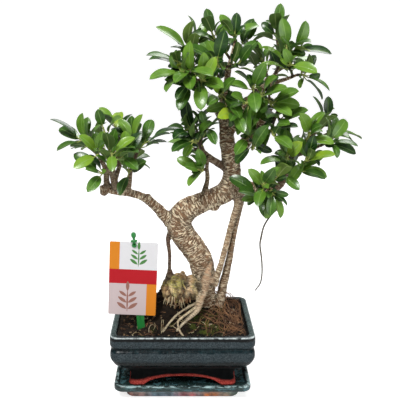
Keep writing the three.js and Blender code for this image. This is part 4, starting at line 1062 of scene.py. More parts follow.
def grow_bark(mesh):
    """Gives bark its relief, and the marks its material reads: place round and along the limb, and tint, with
    painted light and shade from the relief.
    """
    spots, normals = rows_of(mesh, "co"), rows_of(mesh, "normal")
    places, colours = limb_marks(spots)
    # How far each spot stands out from a smoothed copy: hollows get painted shade, ridges painted light.
    rounded = evaluated(mesh.copy(), ("SMOOTH", {"factor": 0.8, "iterations": 14}))
    proud = ((spots - rows_of(rounded, "co")) * normals).sum(axis=1)
    bulb = Vector(SWELLINGS["bulb"][0])
    for index, place in enumerate(places):
        spot = Vector(spots[index])
        wrinkles = noise.noise(Vector((place[0] * 0.09, place[1] * 0.09, place[2] * 0.42)))
        lumps = noise.noise(spot * 0.1) + 0.5 * noise.noise(spot * 0.23)
        thick = min(1.0, math.hypot(place[0], place[1]) / 9)
        gnarled = math.exp(-((spot - bulb).length / GNARLED_REACH) ** 6)
        near, far = noise.voronoi(Vector((spot.x * 0.125, spot.y * 0.125, spot.z * 0.05)))[0][:2]
        furrow = min(far - near, 0.42) / 0.42 - 0.7
        crevice = crevice_depth(spot.x, spot.z) if gnarled > 0.01 and spot.y < bulb.y + 4 else 0
        fringe = gnarled * min(max((bulb.z - 4 - spot.z) / 12, 0), 1)
        strands = noise.noise(Vector((spot.x * 0.5, spot.y * 0.5, spot.z * 0.08)))
        relief = (RELIEF["wrinkles"] * wrinkles + RELIEF["lumps"] * lumps) * thick
        relief += RELIEF["crevice"] * crevice + RELIEF["strands"] * fringe * strands
        relief += gnarled * (RELIEF["furrow"] * furrow + RELIEF["gnarl"] * lumps)
        spots[index] += normals[index] * relief
        # Painted light and shade, multiplied into the tint: lighter on bumps, darker in hollows and crevices.
        shade = 1 + PAINTED_LIGHT_AND_SHADE["wrinkles"] * wrinkles + PAINTED_LIGHT_AND_SHADE["lumps"] * lumps
        shade += gnarled * (PAINTED_LIGHT_AND_SHADE["furrow"] * furrow + PAINTED_LIGHT_AND_SHADE["gnarl"])
        shade += min(max(1.3 * proud[index], -0.7), 0.3) + PAINTED_LIGHT_AND_SHADE["crevice"] * crevice
        # Painted shade, darker towards the bottom of the root ball, broken into streaks.
        shade += fringe * (PAINTED_LIGHT_AND_SHADE["strands"] * strands - 0.3)
        stain = gnarled * patches_at(spot, 0.07, 0.35, 2.2)
        algae = gnarled * patches_at(spot, 0.06, 0.25, 2.5, (7, 0, 0))
        for patch, taken in ((stain, OLD_STAIN), (algae, ALGAE)):
            colours[index, :3] *= [1 - part * patch for part in taken]
        colours[index, :3] *= min(max(shade, 0.12), 1.4)
    mesh.vertices.foreach_set("co", spots.ravel())
    mesh.attributes.new("bark_place", "FLOAT_VECTOR", "POINT").data.foreach_set("vector", places.ravel() * MM)
    mesh.attributes.new("bark_tint_and_painted_shade", "FLOAT_COLOR", "POINT").data.foreach_set("color", colours.ravel())


def root_ball_ridges():
    """Ridges like fingers, from the top of the root ball down its front and sides into the compost."""
    (x, y, z), (wide, deep, tall) = SWELLINGS["bulb"]
    ridges = []
    first, last, count = RIDGES["first"], RIDGES["last"], RIDGES["count"]
    for number in range(count):
        turn = math.pi * (first + (last - first) * number / (count - 1))
        line = []
        for low in (0.8, 0.45, 0.05, -0.4, -0.8):
            swing = turn + 0.22 * math.sin(3.1 * number + 2.4 * low)
            ring = math.sqrt(1 - low * low) * (0.98 if low > -0.5 else 1.15)
            place = (x + wide * ring * math.cos(swing), y + deep * ring * math.sin(swing), z + tall * low)
            line.append((*place, RIDGES["thick"] * (0.75 + 0.25 * math.cos(low * 3 + number))))
        ridges.append(line)
    return ridges


def trunk_bark():
    wood = [points for name, points in {**LIMBS, **ROOTS}.items() if name not in THIN_ROOTS]
    bm = bmesh.new()
    bm.from_mesh(tubes([smooth_line(points, 8) for points in wood + root_ball_ridges()], 16))
    for x, y, z, size in KNOBS:
        bmesh.ops.create_icosphere(bm, subdivisions=2, radius=size, matrix=Matrix.Translation((x, y, z)))
    for centre, size in SWELLINGS.values():
        bmesh.ops.create_icosphere(bm, subdivisions=3, radius=1,
                                   matrix=Matrix.Translation(centre) @ Matrix.Diagonal((*size, 1)))
    mesh = evaluated(mesh_of(bm), ("REMESH", {"mode": "VOXEL", "voxel_size": VOXEL}),
                     ("SMOOTH", {"factor": 0.6, "iterations": 4}))
    grow_bark(mesh)
    finished("trunk_bark", mesh, [bark_finish("banyan_bark", 1.0)], ["trunk_and_roots"], 180)


def root_ball_out(turn, low):
    """The way from the root ball's middle to its surface, at a turn round it and a height from -1 to 1."""
    wide, deep, tall = SWELLINGS["bulb"][1]
    ring = math.sqrt(1 - low * low)
    return Vector((math.cos(turn) * ring * wide, math.sin(turn) * ring * deep, low * tall))


def root_ball_hairs(chance):
    hairs = []
    for _ in range(120):
        turn, low = chance.uniform(math.pi * 0.95, math.pi * 2.05), chance.uniform(-0.75, 0.35)
        out = root_ball_out(turn, low)
        root = Vector(SWELLINGS["bulb"][0]) + out * 0.97
        end = root + out.normalized() * chance.uniform(1.5, 4) - UP * chance.uniform(1, 5)
        middle = root.lerp(end, 0.5) + out.normalized() * 0.8
        hairs.append(smooth_line([(*root, 0.22), (*middle, 0.18), (*end, 0.1)], 3))
    return hairs


def root_ball_fringe(chance):
    """Short roots that hang from the lower edge of the root ball."""
    fringe = []
    for _ in range(38):
        turn, low = chance.uniform(math.pi * 1.15, math.pi * 1.95), chance.uniform(-0.85, -0.35)
        root = Vector(SWELLINGS["bulb"][0]) + root_ball_out(turn, low)
        out = Vector((math.cos(turn), math.sin(turn), 0))
        middle = root + out * chance.uniform(1.5, 3.5) - UP * chance.uniform(1, 4)
        end = middle + out * chance.uniform(-1, 3) - UP * chance.uniform(3, 8)
        thick = chance.uniform(0.55, 1.1)
        fringe.append(smooth_line([(*root, thick), (*middle, thick * 0.75), (*end, 0.3)], 3))
    return fringe


def thin_roots(fibre, pale):
    """The fine aerial roots, and the hairs and short roots round the lower half of the root ball."""
    mesh = tubes([smooth_line(ROOTS[name], 8) for name in THIN_ROOTS], 10)
    grow_bark(mesh)
    finished("thin_roots", mesh, [bark_finish("banyan_bark_fine", 0.3)], sharp=180)
    chance = random.Random(5)
    hairs = root_ball_hairs(chance)
    fringe = root_ball_fringe(chance)
    finished("root_hairs", tubes(hairs + fringe[::2], 5), [fibre])
    finished("root_fringe", tubes(fringe[1::2], 6), [pale])


# Leafy sprays

def draws_of(seed):
    """The part's own seeded numbers, so that each leaf lands where its solid is."""
    state = seed
    while True:
        state = (state * 1664525 + 1013904223) % 4294967296
        yield state / 4294967296


class ShootLine:
    """A shoot's bent line: points on it, and a smooth run for its stem."""

    def __init__(self, start, end, aim):
        span = (end - start).length
        rising = start.lerp(end, SHOOT["rise"]) + UP * span * SHOOT["lift"]
        self.ends = (start, rising, end - aim * span * SHOOT["aim"], end)
        self.points = [self.curve(step / SHOOT["steps"]) for step in range(SHOOT["steps"] + 1)]

    def curve(self, t):
        weights = ((1 - t) ** 3, 3 * t * (1 - t) ** 2, 3 * t * t * (1 - t), t ** 3)
        return sum((end * weight for weight, end in zip(weights, self.ends)), Vector())

    def span_at(self, share_of):
        first = min(int(share_of * SHOOT["steps"]), SHOOT["steps"] - 1)
        return self.points[first], self.points[first + 1], share_of * SHOOT["steps"] - first

    def at(self, share_of):
        start, end, part_way = self.span_at(share_of)
        return start.lerp(end, part_way)

    def axis_at(self, share_of):
        start, end, _ = self.span_at(share_of)
        return (end - start).normalized()

    def stem(self):
        steps = 8
        thin = SHOOT["end"] - SHOOT["base"]
        return [(*self.curve(step / steps), SHOOT["base"] + thin * step / steps) for step in range(steps + 1)]


def place_on_limb(name, at):
    """The point of a limb's smooth centre line at a share of its spans."""
    points = LIMBS[name]
    first = min(int(at * (len(points) - 1)), len(points) - 2)
    rows = with_run_out([point[:3] for point in points])
    return Vector(smooth_point(rows, first, at * (len(points) - 1) - first))


def last_leaf(line, tip, face):
    """The leaf at a shoot's end, which reaches for its tip."""
    end = line.at(1)
    reach = Vector(tip) - end
    along = reach.normalized()
    length = reach.length - LAST_LEAF["petiole"]
    width = LEAF["width"] * min(max(length / LEAF["length"], LAST_LEAF["narrowest"]), LAST_LEAF["widest"])
    return {"root": end - along * LAST_LEAF["sunk"], "along": along,
            "up": square_to(along, UP * (1.05 - face) + FRONT * face), "length": length, "width": width,
            "petiole": LAST_LEAF["petiole"] + LAST_LEAF["sunk"], "arch": LAST_LEAF["arch"]}


def side_leaf(line, share_of, turn, opening, size, roll, arch):
    """A leaf at the side of a shoot, its upper face turned to the shoot's end and to the light."""
    axis = line.axis_at(share_of)
    one = square_to(axis, UP + FRONT * 0.3)
    two = axis.cross(one)
    out = one * math.cos(turn) + two * math.sin(turn)
    along = (axis * math.cos(opening) + out * math.sin(opening) + UP * SPREAD["lift"]).normalized()
    up = Matrix.Rotation(roll, 3, along) @ square_to(along, UP * 0.9 + axis * 0.5 + FRONT * 0.25)
    return {"root": line.at(share_of), "along": along, "up": up, "length": LEAF["length"] * size,
            "width": LEAF["width"] * size, "petiole": LEAF["petiole"] * size, "arch": arch}


def tip_of(leaf):
    base = leaf["root"] + leaf["along"] * leaf["petiole"]
    return base + leaf["along"] * leaf["length"] / leaf["arch"] * 2 * math.sin(leaf["arch"] / 2)


def middle_of(leaf):
    return (leaf["root"] + tip_of(leaf)) / 2


def tips_in_solids():
    """A search tree of all the corners of the solid sprays, to find which leaves stand in them."""
    corners = [vert.co / MM for name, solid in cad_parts.items() if name.startswith("spray_")
               for vert in solid.data.vertices]
    tree = kdtree.KDTree(len(corners))
    for index, corner in enumerate(corners):
        tree.insert(corner, index)
    tree.balance()
    return tree


def grow_sprays():
    """Every spray as {stems, leaves}: the leaves of the solids, then smaller ones in between."""
    draws = draws_of(SEED)
    tree = tips_in_solids()
    sprays, lines, leaves = [], [], []

    def vary(middle, spread):
        return middle + (next(draws) - 0.5) * spread

    for limb, at, to, tip, face in SHOOTS + SMALL_SHOOTS:
        start = place_on_limb(limb, at) if limb else lines[-1].at(at)
        line = ShootLine(start, Vector(to), (Vector(tip) - Vector(to)).normalized())
        lines.append(line)
        if limb:
            sprays.append({"stems": [], "leaves": [], "lines": [], "limb": limb})
        spray = sprays[-1]
        spray["stems"].append(line.stem())
        spray["lines"].append(line)
        found = [last_leaf(line, tip, face)]
        for index in range(SHOOT["leaves"]):
            first, last = SHOOT["first"], SHOOT["last"]
            share_of = vary(first + (last - first) * index / (SHOOT["leaves"] - 1), VARY["share"])
            turn = vary(index * SPREAD["turn"] + VARY["turn"] / 2, VARY["turn"])
            opening = vary(SPREAD["open"], VARY["open"])
            size = vary(SPREAD["size"], VARY["size"])
            roll = vary(0, VARY["roll"])
            arch = vary(SPREAD["arch"], VARY["arch"])
            for attempt in range(PLACING["attempts"]):
                leaf = side_leaf(line, share_of, turn + attempt * PLACING["turn"],
                                 opening + attempt % 3 * PLACING["open"], size, roll, arch)
                if tree.find(tip_of(leaf))[2] < 0.05:
                    found.append(leaf)
                    break
        spray["leaves"] += found
        leaves += found
    fill_gaps(sprays, leaves)
    return sprays


def fill_gaps(sprays, leaves):
    """Adds smaller leaves along every shoot, wherever there is room between those already there."""
    chance = random.Random(FILLERS["seed"])
    middles = [middle_of(leaf) for leaf in leaves]
    low, high = (corner / MM for corner in solid_box)
    for spray in sprays:
        each = FILLERS["few"] if spray["limb"].startswith("fan") else FILLERS["each"]
        for line in spray["lines"]:
            for index in range(each):
                along = (index + chance.random()) / each
                share_of = FILLERS["first"] + (FILLERS["last"] - FILLERS["first"]) * along
                size = chance.uniform(FILLERS["small"], FILLERS["large"])
                for attempt in range(8):
                    leaf = side_leaf(line, share_of, chance.uniform(0, 2 * math.pi), chance.uniform(0.6, 1.5),
                                     size, chance.uniform(-1.3, 1.3), chance.uniform(0.5, 1.5))
                    # Small leaves near the start of a shoot lie deeper in the crown; they are older and get
                    # painted shade.
                    leaf["age"] = 1 - along
                    end, middle = tip_of(leaf), middle_of(leaf)
                    inside = all(low[i] + 3 < end[i] < high[i] - 3 for i in range(3))
                    if inside and all((middle - other).length > FILLERS["apart"] for other in middles):
                        middles.append(middle)
                        spray["leaves"].append(leaf)
                        break


def leaf_blade(bm, leaf, tone, layers):
    """A leaf blade: a grid bent along its length and folded at the midrib, then given its thickness."""
    along, up, width, length, arch = (leaf[key] for key in ("along", "up", "width", "length", "arch"))
    side = along.cross(up)
    base = leaf["root"] + along * leaf["petiole"]
    made = bmesh.ops.create_grid(bm, x_segments=2, y_segments=10, size=1, calc_uvs=True)["verts"]
    wave = (leaf["root"].x * 7.3) % 1 * 6.3
    for vert in made:
        across, reach_share = vert.co.x, (vert.co.y + 1) / 2
        bend = arch * (reach_share - 0.5)
        reach = length / arch * (math.sin(bend) + math.sin(arch / 2))
        rise = length / arch * (math.cos(bend) - math.cos(arch / 2))
        normal = up * math.cos(bend) + along * math.sin(bend)
        half = 0.5 * math.sin(math.pi * reach_share ** 1.04) ** 0.6 * width if 0 < reach_share < 1 else 0
        cup = (math.sin(LEAF["fold"]) - 0.05) * abs(across)
        ripple = 0.03 * math.sin(reach_share * 11 + wave + across) * abs(across)
        vert.co = (base + along * reach + up * rise + side * across * half * math.cos(LEAF["fold"])
                   + normal * half * (cup + ripple))
        vert[layers["tone"]] = tone
        vert[layers["upper"]] = 1
    bmesh.ops.remove_doubles(bm, verts=made, dist=0.02)
    faces = list({face for vert in made if vert.is_valid for face in vert.link_faces})
    back = bmesh.ops.solidify(bm, geom=faces, thickness=LEAF["thick"])["geom"]
    for vert in back:
        if isinstance(vert, bmesh.types.BMVert):
            vert[layers["upper"]] = 0


def petiole_line(leaf):
    """A leaf's stalk, which runs on under the blade as the start of its midrib."""
    along, up = leaf["along"], leaf["up"]
    base = leaf["root"] + along * leaf["petiole"]
    middle = leaf["root"].lerp(base, 0.5) - up * 0.3
    run_on = leaf["length"] * 0.16
    under = base + along * run_on + up * run_on * math.sin(leaf["arch"] / 2) - up * 0.5
    return smooth_line([(*leaf["root"], 0.95), (*middle, 0.8), (*(base - up * 0.15), 0.72), (*under, 0.3)], 2)


def leafy_sprays():
    """One piece for each spray: its brown and green stems, its stalks and its leaf blades."""
    chance = random.Random(97)
    finishes = [leaf_green(), cloudy("twig_green"), cloudy("twig_brown")]
    low, high = (corner / MM for corner in solid_box)
    for number, spray in enumerate(grow_sprays(), start=1):
        bm = bmesh.new()
        bm.from_mesh(tubes([stem[:6] for stem in spray["stems"]], 8))
        for face in bm.faces:
            face.material_index = 2
        wood = len(bm.faces)
        bm.from_mesh(tubes([stem[5:] for stem in spray["stems"]], 8))
        bm.from_mesh(tubes([petiole_line(leaf) for leaf in spray["leaves"]], 6))
        bm.faces.ensure_lookup_table()
        for face in bm.faces[wood:]:
            face.material_index = 1
        bm.loops.layers.uv.verify()
        layers = {name: bm.verts.layers.float.new(name) for name in ("tone", "upper")}
        fresh = chance.uniform(-LEAF_TONE["sprays"], LEAF_TONE["sprays"])
        for leaf in spray["leaves"]:
            young = LEAF_TONE["young"] if chance.random() < LEAF_TONE["young_share"] else 0
            tone = LEAF_TONE["usual"] + fresh + chance.gauss(0, LEAF_TONE["leaves"]) + young
            # Darker green for old leaves deep in the crown: partly painted shade.
            tone -= LEAF_TONE["old"] * leaf.get("age", 0)
            leaf_blade(bm, leaf, min(max(tone, 0), 1), layers)
        for vert in bm.verts:
            vert.co = [min(max(vert.co[i], low[i]), high[i]) for i in range(3)]
        name = f"spray_{number:02d}"
        solid = [name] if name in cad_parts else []
        finished(name + "_leaves", mesh_of(bm), finishes, solid, 50)


# Finishes

def speckle_group():
    """Fine specks and soft clouds, as glaze and compost have: masks from 0 to 1."""
    group, start, end = new_group("speckle", {"Place": ("Vector", None), "Size": ("Float", 900.0)},
                                  {"Specks": "Float", "Clouds": "Float"})
    specks = share(group, grain(group, start.outputs["Place"], start.outputs["Size"], 3, 0.7), 0.42, 0.68)
    soft = times(group, start.outputs["Size"], 0.12)
    clouds = share(group, grain(group, start.outputs["Place"], soft, 3, 0.55), 0.3, 0.7)
    group.links.new(specks, end.inputs["Specks"])
    group.links.new(clouds, end.inputs["Clouds"])
    return group


SPECKLE = speckle_group()

# Soft finishes, as (darker, lighter, clouds and grit in lumps a metre, depth of the grit, roughness, shine).
CLOUDY = {
    "moss_green": ((28, 38, 14), (104, 116, 44), 700, 2500, 0.0002, 0.8, 0.2),
    "dry_fibre": ((50, 30, 20), (176, 126, 84), 500, 2500, 0.0002, 0.8, 0.5),
    "pale_root": ((150, 126, 86), (222, 208, 170), 500, 1800, 0.0003, 0.7, 0.5),
    "twig_green": ((112, 128, 52), (184, 192, 104), 300, 1500, 0.0003, 0.55, 0.5),
    "twig_brown": ((54, 40, 30), (104, 84, 56), 400, 1500, 0.0004, 0.7, 0.5),
    "mesh_black": ((22, 23, 24), (38, 40, 42), 500, 2000, 0.0002, 0.6, 0.5),
}


def specks(tree, size, output="Specks"):
    return use_group(tree, SPECKLE, {"Place": place_on_piece(tree), "Size": size})[output]


def between(tree, value, low, high, soft=0.0006):
    """A mask that is one where a value lies between two limits."""
    rising = share(tree, value, low - soft, low + soft)
    falling = share(tree, value, high - soft, high + soft, 1, 0)
    return times(tree, rising, falling)


def cloudy(name):
    """A finish of the table: soft clouds between two colours, over a fine grit."""
    darker, lighter, cloud_size, grit_size, depth, roughness, specular = CLOUDY[name]

    def build(tree):
        colour = blend(tree, specks(tree, cloud_size, "Clouds"), rgb(*darker), rgb(*lighter))
        return {"Base Color": colour, "Normal": bump(tree, specks(tree, grit_size), depth)}
    return finish_of(name, build, roughness, Specular_IOR_Level=specular)


@finish(0.2, Coat_Roughness=0.1, Specular_IOR_Level=0.22)
def bowl_glaze(tree):
    """Glossy teal black, with two matte grey bands, a pale rim and a red brown edge under the skirt. The
    rim's paleness is painted light: lighter ends on its top, and a broken pale edge that is worn glaze and
    painted highlight. The glaze under the belly is painted near black as shade.
    """
    place = place_on_piece(tree)
    x, _, z = parts(tree, place)
    waver = share(tree, grain(tree, place, 240, 4, 0.7), 0.25, 0.75, -0.0015, 0.0015)
    height = plus(tree, z, waver)
    bands = sums(tree, "MAXIMUM", *(between(tree, height, *limits) for limits in MATTE_BANDS))
    fine = specks(tree, 820)
    clouds = specks(tree, 260, "Clouds")
    gloss = blend(tree, clouds, rgb(6, 15, 18), rgb(14, 32, 36))
    streaks = share(tree, grain(tree, stretched(tree, place, (260, 260, 30)), 1, 4, 0.6), 0.5, 0.75)
    gloss = blend(tree, times(tree, streaks, 0.55), gloss, rgb(30, 58, 62))
    # Painted shade: the glaze below the belly, over the skirt, turns near black. A thin strip under the rim
    # is darkened the same way.
    under = share(tree, height, 0.058, 0.064, 1, 0)
    dark_strip_and_painted_shade = sums(tree, "MAXIMUM", between(tree, height, 0.093, 0.098), under)
    gloss = blend(tree, dark_strip_and_painted_shade, gloss, rgb(2, 5, 6))
    matte = blend(tree, fine, rgb(16, 24, 28), rgb(78, 89, 93))
    matte = blend(tree, times(tree, clouds, 0.35), matte, rgb(36, 54, 60))
    colour = blend(tree, bands, gloss, matte)
    # Painted light and shade on the rim's top: dark at the front and back, paler at the left and right ends.
    rim = share(tree, height, 0.0986, 0.0998)
    ends = share(tree, sums(tree, "ABSOLUTE", x), 0.088, 0.093)
    top = blend(tree, ends, blend(tree, fine, rgb(8, 14, 17), rgb(34, 48, 52)),
                blend(tree, fine, rgb(28, 40, 42), rgb(96, 114, 110)))
    colour = blend(tree, rim, colour, top)
    # A pale broken line along the rim's outer edge: worn glaze and a painted highlight.
    chips = grain(tree, stretched(tree, place, (150, 150, 60)), 1, 4, 0.7)
    worn = times(tree, attribute(tree, "worn"), share(tree, chips, 0.4, 0.58, 0.1, 1))
    colour = blend(tree, worn, colour, rgb(206, 216, 216))
    edge = share(tree, plus(tree, attribute(tree, "lip"), times(tree, clouds, 0.35)), 0.45, 0.75)
    red = blend(tree, fine, rgb(128, 34, 30), rgb(206, 92, 80))
    colour = blend(tree, edge, colour, red)
    skirt = share(tree, z, 0.048, 0.056, 0.85, 0)
    rough = plus(tree, sums(tree, "MAXIMUM", share(tree, bands, 0, 1, 0.16, 0.55), skirt),
                 share(tree, chips, 0.4, 0.6, 0.16, 0))
    relief = plus(tree, times(tree, fine, bands), times(tree, clouds, 1.5))
    return {"Base Color": colour, "Roughness": rough, "Coat Weight": share(tree, z, 0.05, 0.06, 0, 0.08),
            "Normal": bump(tree, relief, 0.00018)}


@finish(0.2, Coat_Weight=0.25, Coat_Roughness=0.08, Specular_IOR_Level=0.45)
def saucer_glaze(tree):
    """Dark teal, with runs of green, blue and rust where the glaze pooled on the lip and the foot, and
    painted highlights as pale streaks on the lip and along its top edge.
    """
    place = place_on_piece(tree)
    x, _, z = parts(tree, place)
    clouds = specks(tree, 300, "Clouds")
    fine = specks(tree, 1100)
    base = blend(tree, clouds, rgb(6, 15, 18), rgb(18, 40, 44))
    runs = grain(tree, stretched(tree, place, (70, 70, 330)), 1, 4, 0.7, 0.8)
    # Runs of glaze on the lip. The palest stops are painted highlights.
    streaks = steps_of(tree, runs, [
        (0.38, rgb(6, 16, 18)), (0.47, rgb(22, 52, 46)), (0.53, rgb(12, 28, 32)), (0.6, rgb(74, 116, 122)),
        (0.68, rgb(34, 62, 66)), (0.8, rgb(150, 184, 186)),
    ])
    colour = blend(tree, times(tree, between(tree, z, 0.014, 0.0228, 0.0008), 0.9), base, streaks)
    # A painted highlight: pale broken streaks along the lip's top edge.
    brim_highlight = times(tree, between(tree, z, 0.0212, 0.0232, 0.0006), share(tree, runs, 0.46, 0.56))
    colour = blend(tree, times(tree, brim_highlight, 0.75), colour, rgb(176, 204, 204))
    along = plus(tree, share(tree, x, -0.08, 0.08),
                 share(tree, grain(tree, place, 70, 3), 0, 1, -0.12, 0.12))
    foot = steps_of(tree, along, [
        (0.0, rgb(226, 158, 140)), (0.14, rgb(180, 144, 138)), (0.26, rgb(124, 152, 168)),
        (0.42, rgb(160, 170, 186)), (0.54, rgb(236, 110, 110)), (0.64, rgb(170, 148, 150)),
        (0.75, rgb(248, 140, 62)), (0.83, rgb(190, 146, 120)), (1.0, rgb(146, 168, 146)),
    ])
    pooled = share(tree, grain(tree, stretched(tree, place, (90, 90, 60)), 1, 3, 0.6), 0.4, 0.6)
    foot = blend(tree, share(tree, z, 0.004, 0.009, 0, 0.45), foot, rgb(150, 184, 176))
    foot = blend(tree, plus(tree, times(tree, pooled, 0.7), 0.3), rgb(40, 56, 62), foot)
    colour = blend(tree, share(tree, z, 0.0118, 0.0132, 1, 0), colour, foot)
    colour = blend(tree, times(tree, fine, 0.1), colour, rgb(150, 170, 168))
    rough = share(tree, fine, 0, 1, 0.14, 0.3)
    return {"Base Color": colour, "Roughness": rough, "Normal": bump(tree, clouds, 0.0002)}


@finish(0.95, Specular_IOR_Level=0.2)
def compost_crumb(tree):
    place = place_on_piece(tree)
    x, y, _ = parts(tree, place)
    fine = specks(tree, 800)
    clouds = specks(tree, 420, "Clouds")
    colour = blend(tree, clouds, rgb(7, 6, 5), rgb(38, 29, 21))
    colour = blend(tree, times(tree, fine, 0.4), colour, rgb(74, 58, 42))
    mossy = times(tree, between(tree, x, 0.012, 0.06, 0.008), between(tree, y, -0.06, -0.01, 0.008))
    moss = times(tree, mossy, share(tree, grain(tree, place, 150, 3), 0.45, 0.6))
    colour = blend(tree, times(tree, moss, 0.7), colour, rgb(70, 84, 34))
    return {"Base Color": colour, "Normal": bump(tree, plus(tree, fine, clouds), 0.0012)}


@finish(0.9, Specular_IOR_Level=0.2)
def crumb_bark(tree):
    tone = plus(tree, attribute(tree, "tone"), share(tree, specks(tree, 900), 0, 1, -0.1, 0.12))
    colour = steps_of(tree, tone, [(0.0, rgb(18, 14, 11)), (0.35, rgb(48, 35, 26)), (0.75, rgb(96, 70, 48)),
                                   (0.93, rgb(150, 124, 92)), (1.0, rgb(196, 182, 156))])
    return {"Base Color": colour, "Normal": bump(tree, specks(tree, 1400), 0.0006)}


def bark_group():
    """Bark in its own tint, darker in the wrinkles, with short pale marks running round the limb."""
    inputs = {"Place": ("Vector", None), "Tint": ("Color", None), "Marks": ("Float", 1.0),
              "Grit": ("Float", 0.0)}
    group, start, end = new_group("bark", inputs, {"Color": "Color", "Roughness": "Float", "Height": "Float"})
    place, tint, marks, grit = (start.outputs[name] for name in inputs)
    patches = share(group, grain(group, place, 55, 3), 0.3, 0.7)
    wrinkles = grain(group, stretched(group, place, (150, 150, 800)), 1, 4, 0.7, 0.5)
    dark = blend(group, share(group, wrinkles, 0.35, 0.53, 0.9, 0), tint, rgb(46, 32, 22))
    colour = blend(group, times(group, patches, 0.4), dark, rgb(86, 72, 52))
    dashes = grain(group, stretched(group, place, (150, 150, 490)), 1, 3, 0.6, 0.8)
    pale = times(group, share(group, dashes, 0.5, 0.56), marks)
    pale = times(group, pale, share(group, grain(group, place, 70, 2), 0.36, 0.54, 0.6, 1))
    colour = blend(group, pale, colour, rgb(255, 238, 204))
    colour = blend(group, times(group, grit, 0.16), colour, rgb(60, 48, 38))
    relief = plus(group, plus(group, wrinkles, times(group, pale, 0.5)), times(group, grit, 0.2))
    group.links.new(colour, end.inputs["Color"])
    group.links.new(share(group, pale, 0, 1, 0.72, 0.6), end.inputs["Roughness"])
    group.links.new(relief, end.inputs["Height"])
    return group


OLD_BARK = bark_group()


def bark_finish(name, marks):
    """Bark with this much of its pale marks."""
    def build(tree):
        # The tint carries painted light and shade from the bark's relief.
        place, tint = attribute(tree, "bark_place", "Vector"), attribute(tree, "bark_tint_and_painted_shade", "Color")
        marked = times(tree, attribute(tree, "bark_tint_and_painted_shade", "Alpha"), marks)
        bark = use_group(tree, OLD_BARK, {"Place": place, "Tint": tint, "Marks": marked,
                                          "Grit": specks(tree, 1500)})
        return {"Base Color": bark["Color"], "Roughness": bark["Roughness"],
                "Normal": bump(tree, bark["Height"], 0.0018)}
    return finish_of(name, build, 0.7, Specular_IOR_Level=0.35)


@finish(0.35, Coat_Roughness=0.2, Specular_IOR_Level=0.36)
def leaf_green(tree):
    """Glossy dark green with a pale midrib and fine veins above, and a pale matte underside."""
    uv = node(tree, "UVMap")
    across, along, _ = parts(tree, uv)
    from_rib = sums(tree, "ABSOLUTE", sums(tree, "SUBTRACT", across, 0.5))
    rib = share(tree, from_rib, 0.02, 0.05, 1, 0)
    slanted = sums(tree, "SUBTRACT", along, times(tree, from_rib, 0.42))
    ridge = sums(tree, "ABSOLUTE", sums(tree, "SINE", times(tree, slanted, 28.0)))
    vein = times(tree, share(tree, ridge, 0, 0.22, 1, 0), share(tree, from_rib, 0.38, 0.48, 1, 0))
    tone = plus(tree, attribute(tree, "tone"),
                share(tree, grain(tree, place_on_piece(tree), 90, 2), 0.3, 0.7, -0.1, 0.1))
    green = steps_of(tree, tone, [(0.0, rgb(22, 54, 14)), (0.3, rgb(68, 106, 30)), (0.55, rgb(98, 136, 42)),
                                  (0.8, rgb(116, 150, 38)), (1.0, rgb(150, 174, 46))])
    green = blend(tree, times(tree, vein, 0.14), green, rgb(92, 142, 62))
    green = blend(tree, times(tree, rib, 0.45), green, rgb(134, 168, 90))
    under = blend(tree, times(tree, tone, 0.8), rgb(60, 92, 40), rgb(134, 160, 70))
    under = blend(tree, times(tree, rib, 0.6), under, rgb(172, 190, 120))
    upper = attribute(tree, "upper")
    colour = blend(tree, upper, under, green)
    rough = share(tree, upper, 0, 1, 0.6, 0.3)
    relief = plus(tree, times(tree, vein, -0.5), times(tree, rib, -1.0))
    coat = times(tree, upper, 0.18)
    return {"Base Color": colour, "Roughness": rough, "Coat Weight": coat,
            "Normal": bump(tree, relief, 0.00016)}


def card_ink(name, colour):
    """Printed card: an even ink with the faint mottle of paper."""
    def build(tree):
        mottle = share(tree, specks(tree, 1500), 0, 1, 0, 0.1)
        worn = blend(tree, mottle, rgb(*colour), rgb(*(value * 0.86 for value in colour)))
        return {"Base Color": worn, "Normal": bump(tree, specks(tree, 2500), 0.00004)}
    return finish_of(name, build, 0.6, Specular_IOR_Level=0.3)


@finish(0.35, Specular_IOR_Level=0.5)
def stake_green(tree):
    clouds = specks(tree, 300, "Clouds")
    colour = blend(tree, clouds, rgb(24, 104, 44), rgb(40, 130, 58))
    rough = share(tree, specks(tree, 900), 0, 1, 0.3, 0.45)
    return {"Base Color": colour, "Roughness": rough, "Normal": bump(tree, clouds, 0.0001)}


# Studio

@finish(0.9, Specular_IOR_Level=0.1)
def floor_white(tree):
    """Pale paper, lit up a little for the camera so that it stays white behind the tree."""
    pale = blend(tree, grain(tree, place_on_piece(tree), 3), rgb(205, 205, 205), rgb(212, 212, 212))
    seen = node(tree, "LightPath", output="Is Camera Ray")
    return {"Base Color": pale, "Emission Color": (1, 1, 1, 1),
            "Emission Strength": times(tree, seen, FLOOR_GLOW)}


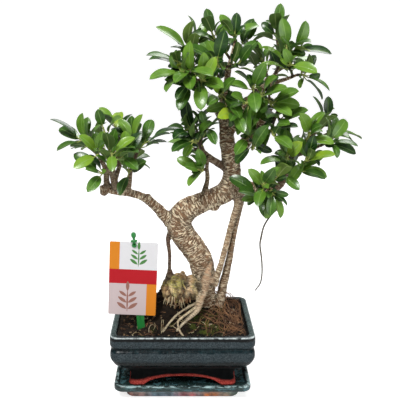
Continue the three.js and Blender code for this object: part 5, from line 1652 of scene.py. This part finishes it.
def studio():
    """A plain pale floor that curves up all round, soft lamps, and the camera of the photograph."""
    bm = bmesh.new()
    line = [bm.verts.new((x, 0, z)) for x, z in FLOOR]
    edges = [bm.edges.new(pair) for pair in zip(line, line[1:])]
    bmesh.ops.spin(bm, geom=line + edges, cent=(0, 0, 0), axis=(0, 0, 1), angle=2 * math.pi, steps=64,
                   use_merge=True, use_duplicate=False)
    bmesh.ops.remove_doubles(bm, verts=bm.verts, dist=0.0001)
    bmesh.ops.recalc_face_normals(bm, faces=bm.faces)
    if max(bm.faces, key=lambda face: -face.calc_center_median().length).normal.z < 0:
        bmesh.ops.reverse_faces(bm, faces=bm.faces)
    mesh = mesh_of(bm)
    mesh.materials.append(floor_white())
    mesh.shade_smooth()
    floor = bpy.data.objects.new("floor", mesh)
    bpy.context.scene.collection.objects.link(floor)

    for name, place, size, watts in LAMPS:
        lamp = bpy.data.lights.new(name, "AREA")
        lamp.energy, lamp.size = watts, size
        holder = bpy.data.objects.new(name, lamp)
        holder.location = place
        holder.rotation_euler = (Vector(LAMPS_AIM) - Vector(place)).to_track_quat("-Z", "Y").to_euler()
        bpy.context.scene.collection.objects.link(holder)

    world = bpy.data.worlds.new("studio")
    world.use_nodes = True
    world.node_tree.nodes["Background"].inputs["Color"].default_value = (1, 1, 1, 1)
    world.node_tree.nodes["Background"].inputs["Strength"].default_value = DAYLIGHT
    bpy.context.scene.world = world
    bpy.context.scene.view_settings.view_transform = "Standard"

    lens = bpy.data.cameras.new("camera")
    lens.lens = CAMERA["lens"]
    lens.sensor_width = 36
    lens.shift_x = CAMERA["shift"]
    camera = bpy.data.objects.new("camera", lens)
    camera.location = Vector(CAMERA["at"]) * MM
    camera.rotation_euler = (math.pi / 2 - CAMERA["down"], 0, 0)
    bpy.context.scene.collection.objects.link(camera)
    bpy.context.scene.camera = camera


saucer_glazed()
bowl_glazed()
compost_bed()
compost_crumbs()
fibre, pale = cloudy("dry_fibre"), cloudy("pale_root")
compost_fibres(fibre)
moss_tufts()
surface_roots(pale)
label_stake_green()
label_card_printed()
trunk_bark()
thin_roots(fibre, pale)
leafy_sprays()
drain_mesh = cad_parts["drain_mesh"].data.materials
drain_mesh.clear()
drain_mesh.append(cloudy("mesh_black"))
studio()
